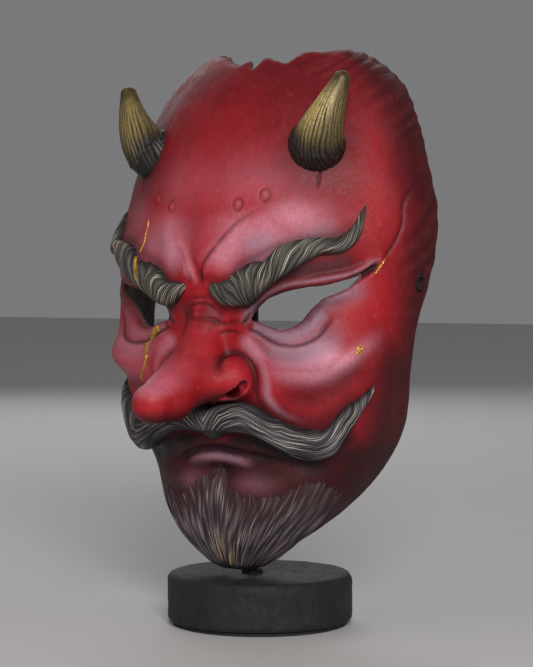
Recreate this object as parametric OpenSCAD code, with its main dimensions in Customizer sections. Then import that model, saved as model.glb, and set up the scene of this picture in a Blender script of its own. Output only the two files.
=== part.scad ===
// Wearable long-nosed demon mask on a round display stand.
// Millimetres, +Z up, the face looks along -Y, the origin is the centre of the stand's underside.

/* [Mask shell] */
// Wall thickness of the casting
wall = 3.5; // [2.5:0.5:4]
// How far the middle of the nose's round tip stands out in front of the stand's centre
nose_reach = 78.5; // [74:0.5:84]
// Radius of the round tip of the nose
nose_tip_r = 9; // [8:0.5:10]
// Thickness of the glue line under everything bonded to the shell
glue_gap = 0.3; // [0.25:0.05:0.4]

/* [Horns] */
// Height of a horn's tip above the middle of its foot, as a share of the standard horn
horn_rise = 1; // [0.85:0.05:1.15]
// Radius of a horn at its foot
horn_foot_r = 13.5; // [12:0.5:14]
// Radius of the blunt end of a horn
horn_tip_r = 4; // [3:0.5:5]

/* [Hair] */
// Greatest thickness of the beard
beard_thickness = 6; // [4:0.5:8]
// Thickness scale of the eyebrows and the moustache
hair_swell = 1; // [0.7:0.1:1.2]

/* [Strap] */
// Radius of the bore that the strap is tied through
strap_hole_r = 2.8; // [2.4:0.1:3]
// Wall of the bush that lines the strap hole
strap_bush_wall = 0.9; // [0.7:0.1:1]

/* [Stand] */
// Diameter of the round base
base_d = 88; // [80:1:110]
// Height of the base, foot pad included
base_h = 24; // [20:1:24]
// Radius of the upright post
post_r = 3; // [2.5:0.5:3.5]

/* [Hidden] */
$fn = 48;

// Level sections of the face about an upright line: height, reach forward, half width,
// squareness, and the angle at which the rim lies.
SECTIONS = [
    [27, 33, 10, 2.0, 14], [38, 38, 28, 2.6, 48], [53, 42, 44, 3.0, 75], [66, 43.5, 54, 2.8, 88],
    [77, 44, 61, 2.6, 93], [90, 46.5, 67, 2.8, 96], [105, 49, 72, 2.9, 94], [120, 52, 76, 2.9, 90],
    [138, 54.5, 79, 2.6, 90], [160, 58, 82, 2.15, 94], [180, 59, 83, 2.0, 97], [199, 57.5, 82, 1.8, 97],
    [222, 52, 75, 1.65, 98], [239, 44, 66, 1.65, 100], [253, 35, 55, 1.65, 106], [264, 25, 41, 1.8, 112],
    [273, 14, 27, 2.0, 116]];
SECTION_Y = 14;
BACK_REACH = 78;
SHELL_BOTTOM = 31;
// Height of the top edge against the share of the way round to the rim
TOP_EDGE = [[0, 261], [0.1, 262.5], [0.25, 262], [0.4, 264], [0.6, 268], [0.85, 270], [1, 265]];

// Swellings and hollows of the face: angle, height, spread in angle, spread in height, amount
RELIEF = [[12, 160, 9, 8, 3], [34, 171, 14, 6, 3], [38, 147, 11, 7, -4], [50, 127, 14, 9, 3],
          [20, 84, 9, 5, 2], [58, 200, 14, 10, -2]];

// Outline of an eye opening: across the line of sight of that eye, and up
EYE_LINE = 37;
EYE = [[-4, 144], [1, 149], [7, 154.5], [13, 157], [22, 158], [38, 160], [48, 165], [54, 169],
       [43, 159.5], [34, 156], [27, 152.5], [21, 145], [14, 141], [6, 140.5], [-1, 143]];

// Centre lines of the hair and the gold: angle, height, half width, thickness
BROW = [[9, 157.5, 3.5, 3], [15, 155.5, 6, 6], [25, 159.5, 7.5, 7], [34, 165.5, 6.5, 7], [42, 171.5, 5.5, 6],
        [50, 175, 4.5, 5], [58, 177, 4, 5], [63, 182, 3.5, 4], [66, 188, 2.5, 3], [68, 194, 0.7, 1]];
MOUSTACHE = [[6, 93, 3.5, 5], [13, 98, 6, 8], [24, 98.5, 7, 9], [36, 93.5, 6.5, 8], [48, 88.5, 5.5, 7.5],
             [58, 87.5, 6, 7], [64, 93, 4.5, 6], [68.5, 103, 3, 4.5], [72, 113, 0.7, 1]];
BEARD_TOP = [[0, 75], [0.12, 68], [0.3, 62], [0.5, 64], [0.7, 69], [0.85, 65], [1, 60]];
FOREHEAD_SEAM = [[-34.5, 189, 0.5, 0.5], [-35.1, 184.5, 0.6, 0.5], [-35.3, 180, 0.5, 0.5]];
BROW_SEAM = [[-30, 166, 0.5, 0.6], [-30.5, 163.5, 0.8, 0.6], [-31, 161, 0.5, 0.6]];
CHEEK_SEAM = [[-29.6, 139.2, 1.6, 0.6], [-32.6, 135.4, 1.5, 0.6], [-34.9, 129.6, 1.2, 0.6],
              [-38.6, 120.1, 0.8, 0.5], [-42.9, 113.8, 0.4, 0.4]];
EYE_SEAM = [[73, 170, 0.4, 0.5], [71, 166.5, 0.6, 0.5]];
CROSS_PLACE = [63.5, 130];
CROSS_HALF = 3;

HORN_ANGLE = 54;
HORN_HEIGHT = 222;
HORN_FOOT_DEPTH = 4;
HORN_BEND = 9;
HORN_LEAN = [13.8, -1.1, 27.7];
HORN_RINGS = 10;
SCREW_R = 1.75;
SCREW_LENGTH = 15;
SCREW_HEAD_R = 3.5;
SCREW_HEAD_H = 2;
WASHER_R = 5.5;
WASHER_H = 1;
CLEARANCE = 0.1;

STRAP_SPOT = [82, 12, 160];
STRAP_BUSH_LENGTH = wall + 1;

POST_Y = -6;
POST_TOP = 252;
FOOT_H = 1.5;
FOOT_INSET = 3;
BASE_EDGE = 1.2;
BASE_FACETS = 96;
POST_SOCKET = 14;
SCREW_RECESS = 3;
SCREW_BITE = 5;
COLLAR_R = post_r + 2;
COLLAR_H = 2.5;
COLLAR_BEVEL = 0.8;
// Middle of the sloping face that carries the crown: forward place, height; then half its length
REST_FACE = [-12.4, 250.6];
REST_RUN = 6;
REST_SLOPE = 47;
REST_HALF_WIDTH = 12;
REST_SKIRT = 3;
PAD_H = 2;
// Arm that carries the bumper behind the chin
ARM_HEIGHT = 70;
ARM_H = 7;
ARM_WIDTH = 8;
ARM_END = -21;
ARM_ROOT = -9;
ARM_HUB_WALL = 4;
ARM_SCREW_R = 1.25;
ARM_SCREW_LENGTH = 6;
BUMPER_R = 5;
BUMPER_LENGTH = 4;

// Balls from the bridge down to the drooping tip, and balls at the root of the nose behind them:
// forward place, height, radius
NOSE = [[-38.5, 152, 6.5], [-40, 138, 9], [-46, 126, 11], [-56, 115, 12.5], [-67, 109, 11.5],
        [-nose_reach, 106.5, nose_tip_r]];
NOSE_ROOT = [[-34, 152, 6.5], [-34, 138, 9], [-34, 126, 11], [-36, 117, 11], [-38, 112, 8], [-60, 108, 8]];
NOSE_HOLLOW = 8;
// Nostril wings: sideways place, forward place, height, radius; and each nostril pit, inside the wing
NOSE_WINGS = [14, -39, 117, 10];
WING_OVERLAP = 10;
NOSTRIL = [[17, -43, 108], [14, -44, 112]];
NOSTRIL_R = 3;

// Foam pads behind the shell: how far apart from it, and their thicknesses
PAD_GAP = 0.4;
FOREHEAD_PAD = 7;
CHEEK_PAD = 6;

BEARD_BOTTOM = 28;
BEARD_ACROSS = 24;
BEARD_UP = 12;
SEAM_CREST = 7.8;
CROSS_TURN = 35;
CROSS_THICK = 0.5;
CROSS_WIDTH = 1;

SHELL_ACROSS = 34;
SHELL_UP = 34;
SHARES = [for (i = [0:SHELL_ACROSS]) between(-1, 1, i / SHELL_ACROSS)];

function sum(list, i = 0) = i < len(list) ? list[i] + sum(list, i + 1) : 0;
function between(a, b, f) = a + (b - a) * f;
function unit(v) = v / norm(v);

// Smooth curve through the points of a table, whose first column rises
function place_in(table, x) =
    max([0, for (k = [0:len(table) - 2]) if (table[k][0] <= x) k]);
function slope_at(table, k, column) =
    let (a = table[max(k - 1, 0)], b = table[min(k + 1, len(table) - 1)])
    (b[column] - a[column]) / (b[0] - a[0]);
function smooth(table, x, column = 1) =
    let (k = place_in(table, x), a = table[k], b = table[k + 1], h = b[0] - a[0],
         u = min(max((x - a[0]) / h, 0), 1), u2 = u * u, u3 = u2 * u)
    (2 * u3 - 3 * u2 + 1) * a[column] + (u3 - 2 * u2 + u) * h * slope_at(table, k, column)
    + (3 * u2 - 2 * u3) * b[column] + (u3 - u2) * h * slope_at(table, k + 1, column);

// Distance of the face from the upright section line
function bump(t, z, b) = b[4] * exp(-pow((abs(t) - b[0]) / b[2], 2) - pow((z - b[1]) / b[3], 2));
function face_r(t, z) =
    let (front = cos(t) >= 0,
         a = smooth(SECTIONS, z, 2),
         b = front ? smooth(SECTIONS, z, 1) : BACK_REACH,
         n = front ? smooth(SECTIONS, z, 3) : 2)
    pow(pow(abs(sin(t)) / a, n) + pow(abs(cos(t)) / b, n), -1 / n)
    + sum([for (b = RELIEF) bump(t, z, b)]);
function face_point(t, z) =
    let (r = face_r(t, z)) [r * sin(t), SECTION_Y - r * cos(t), z];
function face_normal(t, z) =
    unit(cross(face_point(t + 1, z) - face_point(t - 1, z), face_point(t, z + 1) - face_point(t, z - 1)));
function above_face(t, z, height) = face_point(t, z) + face_normal(t, z) * height;

// Closed solid between two grids of points with the same rows and columns
module slab(top, bottom) {
    rows = len(top);
    columns = len(top[0]);
    below = rows * columns;
    function at(r, c) = r * columns + c;
    function two(a, b, c, d) = [[a, b, c], [a, c, d]];
    points = [for (row = top) each row, for (row = bottom) each row];
    faces = [
        for (r = [0:rows - 2], c = [0:columns - 2])
            each two(at(r, c), at(r + 1, c), at(r + 1, c + 1), at(r, c + 1)),
        for (r = [0:rows - 2], c = [0:columns - 2])
            each two(below + at(r, c), below + at(r, c + 1), below + at(r + 1, c + 1), below + at(r + 1, c)),
        for (c = [0:columns - 2])
            each two(at(0, c), at(0, c + 1), below + at(0, c + 1), below + at(0, c)),
        for (c = [0:columns - 2])
            each two(at(rows - 1, c + 1), at(rows - 1, c),
                     below + at(rows - 1, c), below + at(rows - 1, c + 1)),
        for (r = [0:rows - 2])
            each two(at(r + 1, 0), at(r, 0), below + at(r, 0), below + at(r + 1, 0)),
        for (r = [0:rows - 2])
            each two(at(r, columns - 1), at(r + 1, columns - 1),
                     below + at(r + 1, columns - 1), below + at(r, columns - 1))];
    polyhedron(points, faces);
}

// Ribbon that lies on the face along a centre line, crowned across its width
function along(line, x, column) =
    let (table = [for (k = [0:len(line) - 1]) [k, each line[k]]]) smooth(table, x, column + 1);
function ribbon_point(line, x, across, lift) =
    let (t = along(line, x, 0), z = along(line, x, 1),
         arc = face_r(t, z) * PI / 180,
         dt = (along(line, x + 0.02, 0) - along(line, x - 0.02, 0)) * arc,
         dz = along(line, x + 0.02, 1) - along(line, x - 0.02, 1),
         run = norm([dt, dz]),
         half = along(line, x, 2) * across)
    above_face(t - half * dz / run / arc, z + half * dt / run, lift);
module ribbon(line, steps, across_steps, swell = 1, lift = glue_gap) {
    last = len(line) - 1;
    places = [for (i = [0:steps]) between(0.03, last - 0.03, i / steps)];
    shares = [for (j = [0:across_steps]) between(-1, 1, j / across_steps)];
    top = [for (f = shares) [for (x = places)
        ribbon_point(line, x, f,
            lift + swell * along(line, x, 3) * (0.25 + 0.75 * sqrt(1 - min(f * f, 1))))]];
    bottom = [for (f = shares) [for (x = places) ribbon_point(line, x, f, lift)]];
    rising = line[last][0] > line[0][0];
    slab(rising ? top : reverse_rows(top), rising ? bottom : reverse_rows(bottom));
}
function reverse_rows(grid) = [for (i = [len(grid) - 1:-1:0]) grid[i]];

function grid_of_face(angles, heights, lift) =
    [for (z = heights) [for (t = angles) above_face(t, z, lift)]];

module along_vector(v) {
    rotate([0, acos(v[2] / norm(v)), atan2(v[1], v[0])]) children();
}
module mirrored(side) {
    mirror([side < 0 ? 1 : 0, 0, 0]) children();
}

// ---------- stand ----------
module stand_base() {
    color("#2b2a2c") difference() {
        rotate_extrude($fn = BASE_FACETS) polygon([
            [0, FOOT_H], [base_d / 2 - BASE_EDGE, FOOT_H], [base_d / 2, FOOT_H + BASE_EDGE],
            [base_d / 2, base_h - BASE_EDGE], [base_d / 2 - BASE_EDGE, base_h], [0, base_h]]);
        translate([0, POST_Y, base_h - POST_SOCKET])
            cylinder(h = POST_SOCKET + 1, r = post_r + CLEARANCE / 2);
        translate([0, POST_Y, 0]) cylinder(h = base_h, r = SCREW_R + CLEARANCE);
        translate([0, POST_Y, 0]) cylinder(h = FOOT_H + SCREW_RECESS, r = SCREW_HEAD_R + CLEARANCE);
    }
}
module stand_foot_pad() {
    color("#161616") difference() {
        cylinder(h = FOOT_H, r = base_d / 2 - FOOT_INSET, $fn = BASE_FACETS);
        translate([0, POST_Y, -1]) cylinder(h = FOOT_H + 2, r = SCREW_HEAD_R + 0.5);
    }
}
module stand_post() {
    color("#8d9399") difference() {
        translate([0, POST_Y, base_h - POST_SOCKET])
            cylinder(h = POST_TOP - base_h + POST_SOCKET, r = post_r);
        translate([0, POST_Y, base_h - POST_SOCKET - 1])
            cylinder(h = 2 * SCREW_BITE, r = SCREW_R + CLEARANCE / 2);
    }
}
module post_collar() {
    color("#3a3a3d") translate([0, POST_Y, base_h]) difference() {
        rotate_extrude() polygon([
            [0, 0], [COLLAR_R, 0], [COLLAR_R, COLLAR_H - COLLAR_BEVEL],
            [COLLAR_R - COLLAR_BEVEL, COLLAR_H], [0, COLLAR_H]]);
        translate([0, 0, -1]) cylinder(h = COLLAR_H + 2, r = post_r + CLEARANCE / 2);
    }
}
module base_screw() {
    color("#a9adb2") translate([0, POST_Y, 0]) {
        translate([0, 0, FOOT_H + 1]) cylinder(h = SCREW_HEAD_H, r = SCREW_HEAD_R);
        translate([0, 0, FOOT_H + 1]) cylinder(h = base_h - POST_SOCKET - FOOT_H + SCREW_BITE, r = SCREW_R);
    }
}
// Block on the post whose sloping front carries the inside of the crown
module crown_rest() {
    up = [cos(REST_SLOPE), sin(REST_SLOPE)];
    low = REST_FACE - up * REST_RUN;
    high = REST_FACE + up * REST_RUN;
    color("#202022") difference() {
        translate([REST_HALF_WIDTH, 0, 0]) rotate([0, -90, 0]) linear_extrude(2 * REST_HALF_WIDTH)
            polygon([[low[1], low[0]], [high[1], high[0]], [high[1], 0],
                     [low[1] - REST_SKIRT, 0], [low[1] - REST_SKIRT, low[0]]]);
        translate([0, POST_Y, POST_TOP / 2]) cylinder(h = POST_TOP / 2, r = post_r + CLEARANCE / 2);
    }
}
module crown_pad() {
    color("#141414") translate([0, REST_FACE[0], REST_FACE[1]]) rotate([REST_SLOPE, 0, 0])
        translate([-REST_HALF_WIDTH, -REST_RUN, 0]) cube([2 * REST_HALF_WIDTH, 2 * REST_RUN, PAD_H]);
}
module chin_arm() {
    color("#202022") difference() {
        union() {
            translate([0, POST_Y, ARM_HEIGHT]) cylinder(h = ARM_H, r = post_r + ARM_HUB_WALL);
            translate([-ARM_WIDTH / 2, ARM_END, ARM_HEIGHT]) cube([ARM_WIDTH, ARM_ROOT - ARM_END, ARM_H]);
        }
        translate([0, POST_Y, ARM_HEIGHT - 1]) cylinder(h = ARM_H + 2, r = post_r + CLEARANCE / 2);
        translate([0, POST_Y, ARM_HEIGHT + ARM_H / 2]) rotate([-90, 0, 0])
            cylinder(h = 2 * ARM_SCREW_LENGTH, r = ARM_SCREW_R + CLEARANCE / 2);
    }
}
module chin_arm_screw() {
    color("#a9adb2") translate([0, POST_Y + post_r + CLEARANCE, ARM_HEIGHT + ARM_H / 2]) rotate([-90, 0, 0])
        cylinder(h = ARM_SCREW_LENGTH, r = ARM_SCREW_R);
}
module chin_bumper() {
    color("#141414") translate([0, ARM_END, ARM_HEIGHT + ARM_H / 2]) rotate([90, 0, 0])
        cylinder(h = BUMPER_LENGTH, r = BUMPER_R);
}

// ---------- mask ----------
function shell_grid(depth) = [
    for (j = [0:SHELL_UP]) [
        for (s = SHARES)
            let (z = between(SHELL_BOTTOM, smooth(TOP_EDGE, abs(s)), j / SHELL_UP))
            above_face(s * smooth(SECTIONS, z, 4), z, -depth)]];

module nose_ball(b, shrink, back) {
    translate([0, b[0] + back, b[1]]) sphere(r = b[2] - shrink, $fn = 24);
}
module nose_line(shrink, back) {
    for (k = [0:len(NOSE) - 2]) hull() {
        for (b = [NOSE[k], NOSE[k + 1]]) nose_ball(b, shrink, 0);
        for (b = [NOSE_ROOT[k], NOSE_ROOT[k + 1]]) nose_ball(b, shrink, back);
    }
}
module nose_wing(side) {
    hull() {
        translate([side * NOSE_WINGS[0], NOSE_WINGS[1], NOSE_WINGS[2]]) sphere(r = NOSE_WINGS[3], $fn = 20);
        translate([0, NOSE_WINGS[1] - WING_OVERLAP, NOSE_WINGS[2]]) sphere(r = NOSE_WINGS[3], $fn = 20);
    }
}
module eye_cut(side) {
    mirrored(side) rotate([90, 0, EYE_LINE]) translate([0, 0, 15]) linear_extrude(65) polygon(EYE);
}
module screw_line(side) {
    foot = face_point(HORN_ANGLE, HORN_HEIGHT);
    mirrored(side) translate(foot) along_vector(face_normal(HORN_ANGLE, HORN_HEIGHT)) children();
}
module face_shell() {
    color("#9e1b26") difference() {
        union() {
            slab(shell_grid(0), shell_grid(wall));
            difference() {
                union() {
                    nose_line(0, 0);
                    for (side = [-1, 1]) nose_wing(side);
                }
                shell_core();
            }
        }
        nose_line(wall, NOSE_HOLLOW);
        for (side = [-1, 1]) {
            eye_cut(side);
            screw_line(side) translate([0, 0, -12]) cylinder(h = 20, r = SCREW_R + CLEARANCE);
            translate([side * 70, STRAP_SPOT[1], STRAP_SPOT[2]]) rotate([0, side * 90, 0])
                cylinder(h = 20, r = strap_hole_r + strap_bush_wall + CLEARANCE);
            mirrored(side) hull() {
                for (p = NOSTRIL) translate(p) sphere(r = NOSTRIL_R, $fn = 12);
            }
        }
    }
}
// Everything behind the inner surface, down to the middle of the head
module shell_core() {
    slab(shell_grid(wall), [for (row = shell_grid(wall)) [for (p = row) [p[0] * 0.2, 30, p[2]]]]);
}

// The horn leaves the face square to it, and bends upright towards its tip
function horn_spot(f) =
    let (foot = face_point(HORN_ANGLE, HORN_HEIGHT), out = face_normal(HORN_ANGLE, HORN_HEIGHT))
    (1 - f) * (1 - f) * (foot - out * HORN_FOOT_DEPTH) + 2 * f * (1 - f) * (foot + out * HORN_BEND)
    + f * f * (foot + HORN_LEAN * horn_rise);
module horn(side) {
    color("#8a6d2c") difference() {
        mirrored(side) for (k = [0:HORN_RINGS - 1]) hull() {
            for (f = [k / HORN_RINGS, (k + 1) / HORN_RINGS])
                translate(horn_spot(f)) sphere(r = between(horn_foot_r, horn_tip_r, pow(f, 1.3)), $fn = 24);
        }
        slab([for (z = [180:6:252]) [for (t = [0:6:120])
                above_face(side * (side < 0 ? 120 - t : t), z, glue_gap)]],
             [for (z = [180:6:252]) [for (t = [0:6:120]) [side * (side < 0 ? 120 - t : t) * 0.05, 10, z]]]);
        screw_line(side) translate([0, 0, -12])
            cylinder(h = 12 + SCREW_LENGTH - wall, r = SCREW_R + CLEARANCE);
    }
}
module left_horn() { horn(-1); }
module right_horn() { horn(1); }
module horn_screws() {
    color("#a9adb2") for (side = [-1, 1]) screw_line(side) {
        translate([0, 0, -wall - 1 - WASHER_H - SCREW_HEAD_H]) cylinder(h = SCREW_HEAD_H, r = SCREW_HEAD_R);
        translate([0, 0, -wall - 1 - WASHER_H - 0.1]) cylinder(h = SCREW_LENGTH, r = SCREW_R);
    }
}
module horn_washers() {
    color("#c2c6ca") for (side = [-1, 1]) screw_line(side) difference() {
        translate([0, 0, -wall - 1 - WASHER_H]) cylinder(h = WASHER_H, r = WASHER_R);
        translate([0, 0, -wall - 3 - WASHER_H]) cylinder(h = 6, r = SCREW_R + CLEARANCE);
    }
}

module left_eyebrow() { color("#3f3d2f") mirrored(-1) ribbon(BROW, 26, 6, hair_swell); }
module right_eyebrow() { color("#3f3d2f") ribbon(BROW, 26, 6, hair_swell); }
module left_moustache() { color("#4a4438") mirrored(-1) ribbon(MOUSTACHE, 28, 6, hair_swell); }
module right_moustache() { color("#4a4438") ribbon(MOUSTACHE, 28, 6, hair_swell); }

function beard_grid(thick) = [
    for (j = [0:BEARD_UP]) [
        for (i = [0:BEARD_ACROSS])
            let (s = between(-1, 1, i / BEARD_ACROSS), f = j / BEARD_UP,
                 z = between(BEARD_BOTTOM, smooth(BEARD_TOP, abs(s)), f),
                 swell = 0.25 + 0.75 * sin(180 * min(f + 0.15, 1)) * (1 - 0.5 * s * s))
            above_face(s * smooth(SECTIONS, z, 4) * 0.98, z, glue_gap + thick * swell)]];
module beard() {
    color("#4a4340") slab(beard_grid(beard_thickness), beard_grid(0));
}

module gold_forehead_seam() { color("#d9a93c") ribbon(FOREHEAD_SEAM, 8, 2); }
module gold_brow_seam() { color("#d9a93c") ribbon(BROW_SEAM, 6, 2, 1, SEAM_CREST); }
module gold_cheek_seam() { color("#d9a93c") ribbon(CHEEK_SEAM, 12, 2); }
module gold_eye_seam() { color("#d9a93c") ribbon(EYE_SEAM, 4, 2); }
module gold_cheek_cross() {
    color("#d9a93c") translate(above_face(CROSS_PLACE[0], CROSS_PLACE[1], glue_gap))
        along_vector(face_normal(CROSS_PLACE[0], CROSS_PLACE[1]))
        for (turn = [0, 90]) rotate([0, 0, turn + CROSS_TURN])
            translate([-CROSS_HALF, -CROSS_WIDTH / 2, 0]) cube([2 * CROSS_HALF, CROSS_WIDTH, CROSS_THICK]);
}

module strap_bush(side) {
    color("#b8a08c") translate([side * (STRAP_SPOT[0] + 0.3), STRAP_SPOT[1], STRAP_SPOT[2]])
        rotate([0, -side * 90, 0])
        difference() {
            cylinder(h = STRAP_BUSH_LENGTH, r = strap_hole_r + strap_bush_wall);
            translate([0, 0, -1]) cylinder(h = STRAP_BUSH_LENGTH + 2, r = strap_hole_r);
        }
}
module left_strap_bush() { strap_bush(-1); }
module right_strap_bush() { strap_bush(1); }

module foam_pad(angles, heights, thick) {
    color("#2a2a2c") slab(grid_of_face(angles, heights, -wall - PAD_GAP),
                          grid_of_face(angles, heights, -wall - PAD_GAP - thick));
}
module forehead_pad() { foam_pad([-26:6.5:26], [196:5:221], FOREHEAD_PAD); }
module left_cheek_pad() { foam_pad([-74:4:-54], [103:5:123], CHEEK_PAD); }
module right_cheek_pad() { foam_pad([54:4:74], [103:5:123], CHEEK_PAD); }

stand_base();
stand_foot_pad();
stand_post();
post_collar();
base_screw();
crown_rest();
crown_pad();
chin_arm();
chin_arm_screw();
chin_bumper();
face_shell();
left_horn();
right_horn();
horn_screws();
horn_washers();
left_eyebrow();
right_eyebrow();
left_moustache();
right_moustache();
beard();
gold_forehead_seam();
gold_brow_seam();
gold_cheek_seam();
gold_eye_seam();
gold_cheek_cross();
left_strap_bush();
right_strap_bush();
forehead_pad();
left_cheek_pad();
right_cheek_pad();
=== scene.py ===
import itertools
import math

import bpy
import numpy as np
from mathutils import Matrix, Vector


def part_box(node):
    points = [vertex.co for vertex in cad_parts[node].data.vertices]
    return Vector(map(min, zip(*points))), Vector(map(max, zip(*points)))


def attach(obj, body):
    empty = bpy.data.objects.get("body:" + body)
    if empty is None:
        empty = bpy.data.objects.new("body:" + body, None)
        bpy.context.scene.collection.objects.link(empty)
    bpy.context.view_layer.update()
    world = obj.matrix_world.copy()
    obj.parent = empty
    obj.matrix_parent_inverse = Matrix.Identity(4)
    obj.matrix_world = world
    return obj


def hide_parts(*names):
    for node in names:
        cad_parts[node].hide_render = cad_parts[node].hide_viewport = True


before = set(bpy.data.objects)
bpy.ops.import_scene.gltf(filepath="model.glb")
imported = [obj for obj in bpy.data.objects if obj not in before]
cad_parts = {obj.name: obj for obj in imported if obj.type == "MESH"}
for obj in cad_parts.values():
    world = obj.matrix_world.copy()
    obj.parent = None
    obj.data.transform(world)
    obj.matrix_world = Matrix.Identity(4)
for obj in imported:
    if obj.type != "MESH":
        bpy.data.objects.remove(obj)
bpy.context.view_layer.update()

MM = 0.001

# ------------------------------------------------------------------ the face as the CAD has it, in millimetres
# height, reach forward, half width, squareness, angle of the rim
SECTIONS = np.array([
    [27, 33, 10, 2.0, 14], [38, 38, 28, 2.6, 48], [53, 42, 44, 3.0, 75], [66, 43.5, 54, 2.8, 88],
    [77, 44, 61, 2.6, 93], [90, 46.5, 67, 2.8, 96], [105, 49, 72, 2.9, 94], [120, 52, 76, 2.9, 90],
    [138, 54.5, 79, 2.6, 90], [160, 58, 82, 2.15, 94], [180, 59, 83, 2.0, 97], [199, 57.5, 82, 1.8, 97],
    [222, 52, 75, 1.65, 98], [239, 44, 66, 1.65, 100], [253, 35, 55, 1.65, 106], [264, 25, 41, 1.8, 112],
    [273, 14, 27, 2.0, 116]], float)
SECTION_Y = 14.0
BACK_REACH = 78.0
WALL = 3.5
SHELL_BOTTOM = 31.0
# ragged top edge of the casting: angle, height
TOP_LINE = [(-128, 259), (-110, 260.5), (-90, 263), (-82, 265.4), (-76, 267.2), (-70, 268.4), (-63, 268), (-56, 267),
            (-48, 266.4), (-40, 265.6), (-32, 264.8), (-24, 263.6), (-16, 262.2), (-8, 261.4), (-2, 261.6), (4, 263.4),
            (8, 262.7), (11, 259.8), (15, 259.7), (20, 263), (24, 264.2), (32, 263.4), (37, 262.7), (42, 261.5),
            (48, 262.6), (54, 264.2), (60, 265.6), (66, 266.2), (76, 266.2), (84, 267.4), (92, 268), (98, 268.6),
            (112, 266), (128, 263)]
# soft swellings: angle, height, half width in degrees, half height, how far they stand out
RELIEF = [[12, 160, 9, 8, 3], [34, 171, 14, 6, 3], [38, 147, 11, 7, -4], [50, 127, 14, 9, 3],
          [20, 84, 9, 5, 2], [58, 200, 14, 10, -2]]


def ease(u):
    return u * u * (3 - 2 * u)


def step_up(x, low, high):
    """Smooth step from 0 at low to 1 at high."""
    return ease(np.clip((x - low) / (high - low), 0, 1))


def bell(x, wide):
    return np.exp(-((x / wide) ** 2))


def curve(table, x, column=1):
    """Smooth curve through one column of a table whose first column rises."""
    t = np.asarray(table, float)
    xs, y = t[:, 0], t[:, column]
    m = np.empty_like(y)
    m[1:-1] = (y[2:] - y[:-2]) / (xs[2:] - xs[:-2])
    m[0] = (y[1] - y[0]) / (xs[1] - xs[0])
    m[-1] = (y[-1] - y[-2]) / (xs[-1] - xs[-2])
    x = np.asarray(x, float)
    k = np.clip(np.searchsorted(xs, x, side="right") - 1, 0, len(xs) - 2)
    h = xs[k + 1] - xs[k]
    u = np.clip((x - xs[k]) / h, 0, 1)
    return ((2 * u**3 - 3 * u**2 + 1) * y[k] + (u**3 - 2 * u**2 + u) * h * m[k]
            + (3 * u**2 - 2 * u**3) * y[k + 1] + (u**3 - u**2) * h * m[k + 1])


def face_r(t, z):
    """Distance of the face from the upright line, at angles in degrees and heights."""
    c, s = np.cos(np.radians(t)), np.sin(np.radians(t))
    b = np.where(c >= 0, curve(SECTIONS, z, 1), BACK_REACH)
    n = np.where(c >= 0, curve(SECTIONS, z, 3), 2.0)
    r = (np.abs(s / curve(SECTIONS, z, 2)) ** n + np.abs(c / b) ** n) ** (-1 / n)
    for at, height, wide, tall, out in RELIEF:
        r = r + out * np.exp(-(((np.abs(t) - at) / wide) ** 2) - ((z - height) / tall) ** 2)
    return r


# ------------------------------------------------------------------ maps over the face
# rows are heights, columns angles
CELL = 0.4      # degrees from column to column, millimetres from row to row
HALF_TURN = 128
T_AXIS = np.linspace(-HALF_TURN, HALF_TURN, 641)
Z_AXIS = np.arange(20, 280.01, CELL)
TT, ZZ = np.meshgrid(T_AXIS, Z_AXIS)
BARE = face_r(TT, ZZ)
STEP = np.radians(CELL)
run = np.hypot(BARE, np.gradient(BARE, STEP, axis=1)) * STEP
ARC = np.cumsum(run, axis=1)    # millimetres along the face from its middle line
ARC -= ARC[:, [320]]
away, from_middle = np.abs(TT), np.abs(ARC)


def sample(field, t, z):
    """Value of a map at angles t and heights z."""
    i = np.clip((np.asarray(z, float) - Z_AXIS[0]) / CELL, 0, len(Z_AXIS) - 1.001)
    j = np.clip((np.asarray(t, float) - T_AXIS[0]) / CELL, 0, len(T_AXIS) - 1.001)
    i0, j0 = i.astype(int), j.astype(int)
    fi, fj = i - i0, j - j0
    return ((field[i0, j0] * (1 - fj) + field[i0, j0 + 1] * fj) * (1 - fi)
            + (field[i0 + 1, j0] * (1 - fj) + field[i0 + 1, j0 + 1] * fj) * fi)


EDGE = sample(ARC, np.minimum(curve(SECTIONS, ZZ, 4), HALF_TURN - 1), ZZ)    # where the rim is


def on_arc(points):
    """(angle, height) rows as (millimetres along the face, height) rows."""
    return np.column_stack([sample(ARC, points[:, 0], points[:, 1]), points[:, 1]])


def lengths(points):
    """Distance along a line to each of its points."""
    return np.concatenate([[0], np.cumsum(np.hypot(*np.diff(points, axis=0).T))])


def spread(points, gap=1.2):
    """Smooth line through rows of (angle, height, ...), with a point about every gap millimetres."""
    p = np.asarray(points, float)
    at = lengths(on_arc(p))
    x = np.linspace(0, at[-1], max(3, int(at[-1] / gap) + 1))
    return np.column_stack([curve(np.column_stack([at, p[:, c]]), x) for c in range(p.shape[1])])


def near(points, reach):
    """The window of the maps around a line, and there the distance from it and the share of the way along it."""
    rows = spread(points)
    a, z = on_arc(rows).T
    window = []
    for axis, values, margin in ((Z_AXIS, z, reach), (T_AXIS, rows[:, 0], reach / 0.75)):
        window.append(slice(max(0, int((values.min() - margin - axis[0]) / CELL)),
                            min(len(axis), int((values.max() + margin - axis[0]) / CELL) + 2)))
    window = tuple(window)
    arc, high = ARC[window], ZZ[window]
    best, share = np.full(arc.shape, 1e9), np.zeros(arc.shape)
    n = len(a) - 1
    for k in range(n):
        ex, ez = a[k + 1] - a[k], z[k + 1] - z[k]
        dx, dz = arc - a[k], high - z[k]
        f = np.clip((dx * ex + dz * ez) / (ex * ex + ez * ez + 1e-12), 0, 1)
        d = np.hypot(dx - f * ex, dz - f * ez)
        better = d < best
        best[better] = d[better]
        share[better] = (k + f[better]) / n
    return window, best, share


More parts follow.
